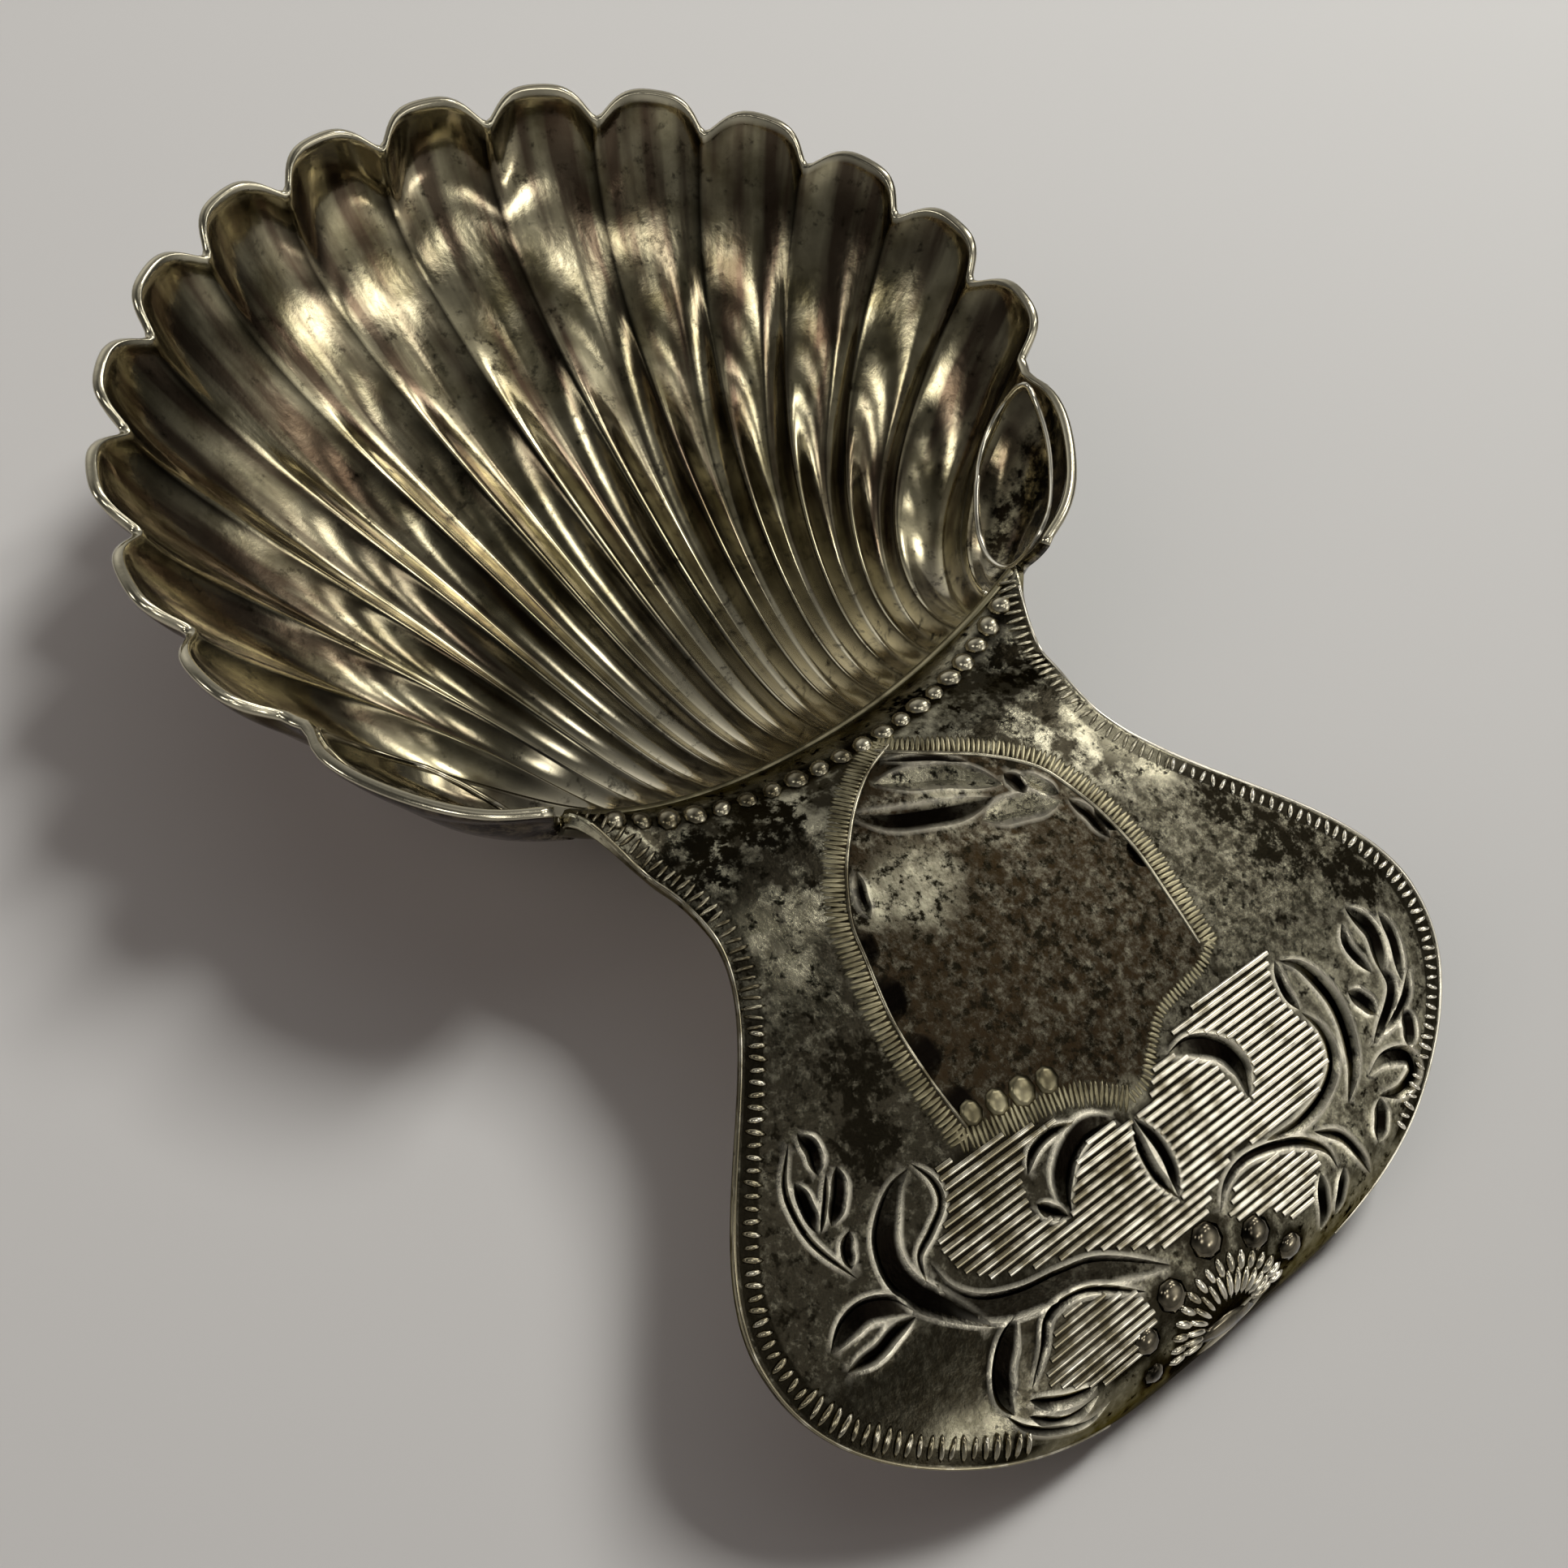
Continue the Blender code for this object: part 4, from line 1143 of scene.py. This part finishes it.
def row_tree():
    """Set small round grains along guide lines: each has a length across the line, a width along it
    and a height, stands at an inset to the left of the line, and leans one way and the other."""
    tree, node, given = new_tree("row_of_grains", GRAIN_SIZES, ("Seed",))
    out = node(STORED, "out", data_type="FLOAT_VECTOR")
    left = node(STORED, "left", data_type="FLOAT_VECTOR")
    size = node(STORED, "size", data_type="FLOAT")
    line = node("GeometryNodeMeshToCurve", given["Geometry"])
    spots = node("GeometryNodeCurveToPoints", line, None, given["Pitch"], mode="LENGTH")
    aside = node(VECTOR, left, named={"Scale": given["Inset"]}, operation="SCALE")
    below = node(VECTOR, out, named={"Scale": given["Sink"]}, operation="SCALE")
    shift = node(VECTOR, aside, below, operation="SUBTRACT")
    placed = node("GeometryNodeSetPosition", spots, named={"Offset": shift})
    odd = node(MATH, node("GeometryNodeInputIndex"), 2.0, operation="MODULO")
    swing = node(MATH, odd, 2.0, -1.0, operation="MULTIPLY_ADD")
    limits = {2: -0.6, 3: 0.6, "Seed": given["Seed"]}
    wobble = node("FunctionNodeRandomValue", named=limits, data_type="FLOAT", out=1)
    wobble = node(MATH, wobble, given["Vary"], operation="MULTIPLY")
    lean = node(MATH, swing, given["Lean"], wobble, operation="MULTIPLY_ADD")
    upright = node("FunctionNodeAxesToRotation", out, left, primary_axis="Z", secondary_axis="X")
    leaned = node("FunctionNodeAxisAngleToRotation", (0.0, 0.0, 1.0), lean)
    turn = node("FunctionNodeRotateRotation", upright, leaned, rotation_space="LOCAL")
    less = node(MATH, 1.0, given["Vary"], operation="SUBTRACT")
    more = node(MATH, 1.0, given["Vary"], operation="ADD")
    limits = {2: less, 3: more, "Seed": node(MATH, given["Seed"], 1.0, operation="ADD")}
    spread = node("FunctionNodeRandomValue", named=limits, data_type="FLOAT", out=1)
    grown = node(MATH, spread, size, operation="MULTIPLY")
    sizes = node(COMBINE, given["Length"], given["Width"], given["Height"])
    scale = node(VECTOR, sizes, named={"Scale": grown}, operation="SCALE")
    grain = node("GeometryNodeMeshUVSphere", GRAIN_SIDES, GRAIN_RINGS, 0.5)
    shape = {"Instance": grain, "Rotation": turn, "Scale": scale}
    end_tree(node, node("GeometryNodeInstanceOnPoints", placed, named=shape), given["Material"])
    return tree


def ridge_tree():
    """Lay a round ridge along guide lines, sunk in the sheet so that its upper part stands out."""
    tree, node, given = new_tree("ridges", ("Radius", "Sink"))
    out = node(STORED, "out", data_type="FLOAT_VECTOR")
    size = node(STORED, "size", data_type="FLOAT")
    line = node("GeometryNodeMeshToCurve", given["Geometry"])
    below = node(VECTOR, out, named={"Scale": given["Sink"]}, operation="SCALE")
    down = node(VECTOR, below, named={"Scale": -1.0}, operation="SCALE")
    sunk = node("GeometryNodeSetPosition", line, named={"Offset": down})
    sized = node("GeometryNodeSetCurveRadius", sunk, None, size)
    section = node("GeometryNodeCurvePrimitiveCircle", RIDGE_SIDES, named={"Radius": given["Radius"]})
    end_tree(node, node("GeometryNodeCurveToMesh", sized, section, size, True), given["Material"])
    return tree


def edge_line(side, start, end, inset=0.0):
    """Line along one long edge of the handle, with the metal on its left, in millimetres."""
    distance = np.linspace(start, end, int(abs(end - start) / 0.25))
    if side > 0.0:
        distance = distance[::-1]
    return np.stack([distance, side * (half_width(distance * MM) / MM - inset)], axis=-1)


def hatch_lines():
    """Straight lines across the handle, clipped to the hatched ground, in millimetres."""
    lines = []
    y = np.arange(*HATCH_ACROSS, HATCH_STEP)
    for distance in np.arange(*HATCH_ALONG, HATCH_PITCH):
        held = hatched(np.stack([np.full_like(y, distance), y], axis=-1))
        change = np.flatnonzero(np.diff(np.concatenate([[0], held.astype(int), [0]])))
        for first, last in zip(change[::2], change[1::2]):
            if last - first > SHORTEST_HATCH:
                run = np.linspace(y[first], y[last - 1], max(int((last - first) / SHORTEST_HATCH), 3))
                lines.append(np.stack([np.full_like(run, distance), run], axis=-1))
    return lines


def arc_line(centre, radius, start, end):
    """Arc on the handle about a centre, in millimetres; angles run from the way along it."""
    turn = np.radians(np.linspace(start, end, 40))
    return np.stack([centre[0] + radius * np.cos(turn), centre[1] + radius * np.sin(turn)], axis=-1)


def dot_line(spot):
    return [spot, (spot[0], spot[1] + 0.02, *spot[2:])]


def add_rows(ridges, worn):
    """Every row of grains and every ridge on the handle."""
    grains = row_tree()
    left, right = -1.0, 1.0
    shield = shield_lines()
    scallops = inner_border(SHIELD_FOOT_LEFT, 1.0, SCALLOP_INSET)[8:44]
    # Name, finish and lines of a row, then what GRAIN_SIZES names
    rows = (
        ("neck_edge_nicks", "dulled", [edge_line(left, *NECK_EDGE), edge_line(right, *NECK_EDGE)],
         0.38, 1.00, 0.21, 0.26, 0.66, 0.02, 0.10, 0.12),
        ("left_edge_nicks", "bright", [edge_line(left, *LEFT_EDGE)],
         0.46, 0.80, 0.28, 0.34, 0.72, 0.02, 0.12, 0.14),
        ("tail_edge_nicks", "bright", [edge_line(left, *TAIL_EDGE)],
         0.46, 1.05, 0.27, 0.36, 0.78, 0.02, 0.10, 0.14),
        ("right_edge_nicks", "bright", [edge_line(right, *RIGHT_EDGE)],
         0.46, 0.78, 0.25, 0.32, 0.62, 0.02, 0.16, 0.16),
        ("shield_rungs", "olive", [shield[0], shield[2]], 0.22, 1.20, 0.21, 0.10, 0.0, 0.015, 0.05, 0.10),
        ("shield_right_rungs", "olive", [shield[1]], 0.22, 1.10, 0.20, 0.08, 0.0, 0.015, 0.05, 0.10),
        ("shield_foot_rungs", "olive", [shield[3]], 0.22, 0.62, 0.19, 0.09, 0.0, 0.015, 0.05, 0.10),
        ("shield_foot_scallops", "olive", [scallops], 1.10, 1.25, 1.12, 0.34, 0.0, 0.02, 0.0, 0.12),
        ("joint_pearls", "dulled", [joint_row_line()], 1.14, 1.22, 1.05, 0.80, 0.0, 0.06, 0.5, 0.12),
        ("flower_rays", "bright", [arc_line(FLOWER_CENTRE, 2.05, *FLOWER_ARC)],
         0.42, 1.30, 0.30, 0.42, 0.0, 0.02, 0.0, 0.08),
        ("flower_ray_tips", "bright", [arc_line(FLOWER_CENTRE, 2.90, *FLOWER_ARC)],
         0.54, 0.95, 0.38, 0.38, 0.0, 0.02, 0.0, 0.10),
        ("berries", "blackened", [dot_line(berry) for berry in BERRIES],
         1.0, 2.1, 2.1, 1.0, 0.0, 0.06, 0.4, 0.0),
        ("flower_heart", "blackened", [dot_line(FLOWER_CENTRE)], 1.0, 1.3, 3.5, 0.5, 0.0, 0.06, 0.2, 0.0),
    )
    pieces = []
    for seed, (name, finish, lines, *lengths, lean, vary) in enumerate(rows):
        sizes = dict(zip(GRAIN_SIZES, [length * MM for length in lengths] + [lean, vary]))
        sizes.update({"Seed": seed if vary else 0, "Material": worn[finish]})
        pieces.append(grown_object(name, guide_mesh(lines), grains, sizes))
    rims = [inner_border(border, side, RIM_LINE_INSET)[::3]
            for border, side in ((SHIELD_LEFT, 1.0), (SHIELD_RIGHT, -1.0))]
    wires = [edge_line(side, *WIRED_EDGE) for side in (left, right)]
    y = np.linspace(-JOINT_EDGE_HALF, JOINT_EDGE_HALF, 90)
    joint = np.stack([np.full_like(y, JOINT_EDGE_AT), y], axis=-1)
    # Name, finish and lines of a ridge, then its radius and how deep its middle lies, in millimetres
    lined = (
        ("hatch_ridges", "bright", hatch_lines(), 0.145, 0.05),
        ("shield_rim_lines", "dulled", rims, 0.11, 0.03),
        ("edge_wires", "bright", wires, 0.085, 0.04),
        ("joint_edge", "olive", [joint], 0.42, 0.20),
    )
    for name, finish, lines, radius, sink in lined:
        sizes = {"Radius": radius * MM, "Sink": sink * MM, "Material": worn[finish]}
        pieces.append(grown_object(name, guide_mesh(lines), ridges, sizes))
    return pieces


def solder_seam(ridges, material):
    """The solder that has run through the joint and stands behind it as a soft bead."""
    across = np.linspace(-SOLDER_HALF, SOLDER_HALF, 61)
    x, y = joint_point(across)
    behind = dish_normal(x, y)
    path = np.stack([x, y, dish_height(x, y)], axis=-1) + behind * SOLDER_DEPTH
    mesh = plain_mesh("guide", path - FRAME_ORIGIN, [], [(i, i + 1) for i in range(len(path) - 1)])
    add_attributes(mesh, {"out": behind, "size": 1.0 - 0.45 * np.abs(across) ** 6})
    sizes = {"Radius": SOLDER_RADIUS, "Sink": 0.0, "Material": material}
    return grown_object("solder_bead", mesh, ridges, sizes)


# Materials

def metal(name, edge="FFFFFF"):
    """Metal with the colour that it mirrors with where it is seen at a flat angle: the material, its
    shader's inputs, the functions that add a node and a link, and the place on the object."""
    material = bpy.data.materials.new(name)
    material.use_nodes = True
    tree = material.node_tree
    shader = tree.nodes["Principled BSDF"].inputs
    shader["Metallic"].default_value = 1.0
    shader["Specular Tint"].default_value = linear(edge)
    node = partial(add_node, tree)
    return material, shader, node, tree.links.new, node("ShaderNodeTexCoord", out="Object")


def laid_colours(node, clean, layers):
    """The colour of clean metal under layers of tarnish, each with a mask and its colour."""
    colour = linear(clean)
    for mask, code in layers:
        colour = node(MIX, mask, named={6: colour, 7: linear(code)}, data_type="RGBA", out=2)
    return colour


def tarnish_specks(node, place, texture, soot, mask):
    """Black tarnish, as a mask: ragged specks, close together where the soot is thick."""
    fine = node(NOISE, place, None, *texture)
    thick = node(MATH, soot, SOOT_WEIGHT, fine, operation="MULTIPLY_ADD")
    return node(RANGE, thick, *mask)


def tarnished_bowl_silver():
    """Sterling silver that was stamped, polished and left to tarnish: an olive film, brown streaks
    down the flutes, black specks, a rim rubbed bright, and a skin that is wavy from stamp and wiping.
    It also carries painted shade, a dark line on one flank of each ridge, and painted light, a pale
    colour at the heel."""
    material, shader, node, link, place = metal("tarnished sterling silver, stamped")
    flute = node(ATTRIBUTE, attribute_name="flute_place", out="Fac")
    along = node(ATTRIBUTE, attribute_name="flute_along", out="Fac")
    fans = []
    for to_flute, to_rim in (STREAKS, WAVES):
        over = node(MATH, flute, to_flute, operation="MULTIPLY")
        fans.append(node(COMBINE, over, node(MATH, along, to_rim, operation="MULTIPLY")))
    film = node(RANGE, node(NOISE, place, None, *BOWL_FILM), *BOWL_MASKS["film"])
    # Most streaks are near the rim
    streak = node(NOISE, fans[0], None, 1.0, 3.0)
    streak = node(MATH, along, STREAKS_AT_RIM, streak, operation="MULTIPLY_ADD")
    streak = node(RANGE, streak, *BOWL_MASKS["streak"])
    # A pale colour, lighter than clean metal, is painted at the heel: painted light that brightens its
    # flutes
    heel = node(RANGE, along, *BOWL_MASKS["heel"])
    # A dark line is painted on one flank of each ridge: painted shade, for the dark that the steep flank
    # mirrors
    part = node(MATH, flute, operation="FRACT")
    width = node(RANGE, along, *BOWL_MASKS["painted shade width"])
    amount = node(RANGE, along, *BOWL_MASKS["painted shade amount"])
    painted_flank_shade = node(RANGE, part, *BOWL_MASKS["painted shade onset"])
    for factor in (node(RANGE, part, width, PAINTED_SHADE_CREST), amount):
        painted_flank_shade = node(MATH, painted_flank_shade, factor, operation="MULTIPLY")
    # Black tarnish: a few specks, and more of them in the ears
    from_end = node(MATH, LOBE_COUNT + 2.0, flute, operation="SUBTRACT")
    ear = node(MATH, flute, from_end, operation="MINIMUM")
    ear = node(RANGE, ear, *BOWL_MASKS["ear"])
    soot = node(MATH, node(NOISE, place, None, *BOWL_SOOT), ear, operation="ADD")
    specks = tarnish_specks(node, place, BOWL_SPECKS, soot, BOWL_MASKS["specks"])
    rubbed = node(RANGE, along, *BOWL_MASKS["rubbed"])
    # Of these layers the flank's 1E1912 is painted shade and the heel's E8E0C8 is painted light
    link(laid_colours(node, "C4BB9C", (
        (film, "7A7257"), (streak, "4C3A30"), (heel, "E8E0C8"), (painted_flank_shade, "1E1912"), (specks, "221C12"),
        (rubbed, "BEB7A1"),
    )), shader["Base Color"])
    haze = node(NOISE, place, None, *BOWL_HAZE)
    link(node(RANGE, haze, *BOWL_MASKS["roughness"]), shader["Roughness"])
    # Waves: long ones along the flutes, weaker towards the heel where the flutes are narrow, and fine ones
    wave = node(NOISE, fans[1], None, 1.0, 2.0)
    fine = node(NOISE, place, None, *BOWL_FINE_WAVES)
    wave = node(MATH, fine, FINE_WAVE_SHARE, wave, operation="MULTIPLY_ADD")
    wave = node(MATH, wave, along, operation="MULTIPLY")
    link(node("ShaderNodeBump", WAVE_STRENGTH, WAVE_HEIGHT, None, wave), shader["Normal"])
    return material


def tarnished_handle_silver():
    """Sterling silver sheet, engraved: grey and mottled, black in the cuts and between close work,
    bright on the lips of the cuts, brown in the shield's field, scratched by handling. It also carries
    a painted dark reflection on the tail and painted highlights and glints in some pale patches."""
    material, shader, node, link, place = metal("tarnished sterling silver, engraved", "8C8674")
    cut, lip, close_and_tail_shade, field, soot, pale, thicker, even = [
        node(ATTRIBUTE, attribute_name=name, out="Fac") for name in HANDLE_ATTRIBUTES]
    polished = node(RANGE, soot, *HANDLE_MASKS["polished"])
    film = node(MATH, node(NOISE, place, None, *HANDLE_FILM), thicker, operation="ADD")
    film = node(RANGE, film, *HANDLE_MASKS["film"])
    # On the wings the film is even, with a fine grain
    grain = node(RANGE, node(NOISE, place, None, *HANDLE_GRAIN), *HANDLE_MASKS["grain"])
    level = node(RANGE, thicker, *HANDLE_MASKS["level"])
    grit = node(MATH, polished, GRIT, operation="MULTIPLY")
    level = node(MATH, grain, grit, level, operation="MULTIPLY_ADD")
    even = node(MATH, even, EVENNESS, operation="MULTIPLY")
    film = node(MIX, even, None, film, level)
    brown = node(RANGE, grain, *HANDLE_MASKS["brown"])
    brown = node(MATH, brown, field, operation="MULTIPLY")
    thin = node(RANGE, film, *HANDLE_MASKS["thin"])
    # The pale layer (C0BAA0) is rubbed metal, and painted highlights and glints at the neck's edges and
    # near the tail
    pale = node(MATH, pale, thin, operation="MULTIPLY")
    specks = tarnish_specks(node, place, HANDLE_SPECKS, soot, HANDLE_MASKS["specks"])
    close_and_tail_shade = node(MATH, close_and_tail_shade, CLOSE_AND_TAIL_DARKNESS, operation="MULTIPLY")
    dark = node(MATH, close_and_tail_shade, specks, operation="MAXIMUM")
    clear = node(RANGE, thicker, *HANDLE_MASKS["clear"])
    lip = node(MATH, lip, clear, operation="MULTIPLY")
    link(laid_colours(node, "AFAA94", (
        (film, "38342A"), (brown, "31271A"), (pale, "C0BAA0"), (dark, "1A1710"), (lip, "ECE5D0"),
        (cut, "0E0B08"),
    )), shader["Base Color"])
    rough = node(RANGE, node(NOISE, place, None, *HANDLE_HAZE), *HANDLE_MASKS["roughness"])
    rough = node(MATH, field, FIELD_ROUGHNESS, rough, operation="MULTIPLY_ADD")
    link(node(MATH, rough, polished, operation="MULTIPLY"), shader["Roughness"])
    pits = node(NOISE, place, None, *HANDLE_PITS)
    pitted = node(MATH, polished, PIT_STRENGTH, operation="MULTIPLY")
    link(node("ShaderNodeBump", pitted, PIT_DEPTH, None, pits), shader["Normal"])
    return material


def worn_engraving_silver(name, light, dark, roughness):
    """The high points of the close engraving, rubbed bright by handling, or dulled by later tarnish."""
    material, shader, node, link, place = metal(name)
    across = node("ShaderNodeSeparateXYZ", place, out=1)
    film = node(NOISE, place, None, *WORN_FILM)
    film = node(MATH, across, FILM_TO_THE_RIGHT, film, operation="MULTIPLY_ADD")
    film = node(RANGE, film, *WORN_MASK)
    link(laid_colours(node, light, ((film, dark),)), shader["Base Color"])
    shader["Roughness"].default_value = roughness
    return material


def silver_solder():
    """Hard silver solder: a little greyer and duller than the sheets."""
    material, shader, node, link, place = metal("silver solder, satin")
    film = node(NOISE, place, None, *SOLDER_FILM)
    link(laid_colours(node, "98927F", ((film, "4C4638"),)), shader["Base Color"])
    link(node(RANGE, film, *SOLDER_ROUGHNESS), shader["Roughness"])
    return material


# Stage: floor, lamps and camera

def sky_place(azimuth, elevation, distance):
    a, e = math.radians(azimuth), math.radians(elevation)
    return Vector((math.cos(a) * math.cos(e), math.sin(a) * math.cos(e), math.sin(e))) * distance


def add_lamp(name, azimuth, elevation, distance, width, height, power, colour):
    """A lamp that lights the table and casts shadows, but isn't mirrored in the metal."""
    lamp = bpy.data.lights.new(name, "AREA")
    lamp.shape = "RECTANGLE"
    lamp.size = width
    lamp.size_y = height
    lamp.energy = power
    lamp.color = linear(colour)[:3]
    added = add_object(name, lamp)
    added.location = sky_place(azimuth, elevation, distance)
    added.rotation_euler = (-added.location).to_track_quat("-Z", "Y").to_euler()
    added.visible_glossy = False


def add_table():
    low, high = -TABLE_HALF, TABLE_HALF
    corners = [(low, low, 0.0), (high, low, 0.0), (high, high, 0.0), (low, high, 0.0)]
    mesh = plain_mesh("table", corners, [(0, 1, 2, 3)])
    material = bpy.data.materials.new("matt pale table")
    material.use_nodes = True
    shader = material.node_tree.nodes["Principled BSDF"].inputs
    shader["Base Color"].default_value = linear("DCDBD9")
    shader["Roughness"].default_value = 0.9
    mesh.materials.append(material)
    add_object("table", mesh)


def add_room():
    """The room that the metal mirrors. It doesn't light the table."""
    world = bpy.data.worlds.new("pale room")
    world.use_nodes = True
    tree = world.node_tree
    back = tree.nodes["Background"].inputs
    back["Color"].default_value = linear("FFFDF8")
    node = partial(add_node, tree)
    way = node("ShaderNodeTexCoord", out="Generated")
    light = ROOM_DIM
    for azimuth, elevation, spread, amount in ROOM_GLOWS:
        towards = tuple(sky_place(azimuth, elevation, 1.0))
        facing = node(VECTOR, way, towards, operation="DOT_PRODUCT", out="Value")
        sharp = math.radians(spread) ** -2
        fall = node(MATH, facing, sharp, -sharp, operation="MULTIPLY_ADD")
        light = node(MATH, node(MATH, fall, operation="EXPONENT"), amount, light, operation="MULTIPLY_ADD")
    tree.links.new(light, back["Strength"])
    world.cycles_visibility.diffuse = False
    bpy.context.scene.world = world


def add_camera():
    data = bpy.data.cameras.new("photo_camera")
    data.sensor_width = 36.0
    data.lens = data.sensor_width * FOCAL_PIXELS / PHOTO_SIZE
    data.clip_start = 0.001
    camera = add_object("photo_camera", data)
    forward = CAMERA_FORWARD.normalized()
    right = (CAMERA_RIGHT - forward * CAMERA_RIGHT.dot(forward)).normalized()
    up = right.cross(forward)
    turn = Matrix((right, up, -forward)).transposed()
    camera.matrix_world = Matrix.Translation(CAMERA_PLACE) @ turn.to_4x4()
    bpy.context.scene.camera = camera


def place_piece(piece, node=None):
    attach(piece, "root")
    if node:
        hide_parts(node)


bowl = shell_bowl(tarnished_bowl_silver())
ridges = ridge_tree()
worn = {name: worn_engraving_silver(*finish) for name, finish in WORN_FINISHES.items()}
place_piece(bowl, "shell_bowl")
place_piece(handle_sheet(tarnished_handle_silver()), "handle")
place_piece(solder_seam(ridges, silver_solder()), "solder_seam")
place_piece(ear_beads(bowl, ridges, worn["bright"]))
for row in add_rows(ridges, worn):
    place_piece(row)
add_table()
for lamp in LAMPS:
    add_lamp(*lamp)
add_room()
add_camera()
bpy.context.scene.view_settings.view_transform = "Standard"
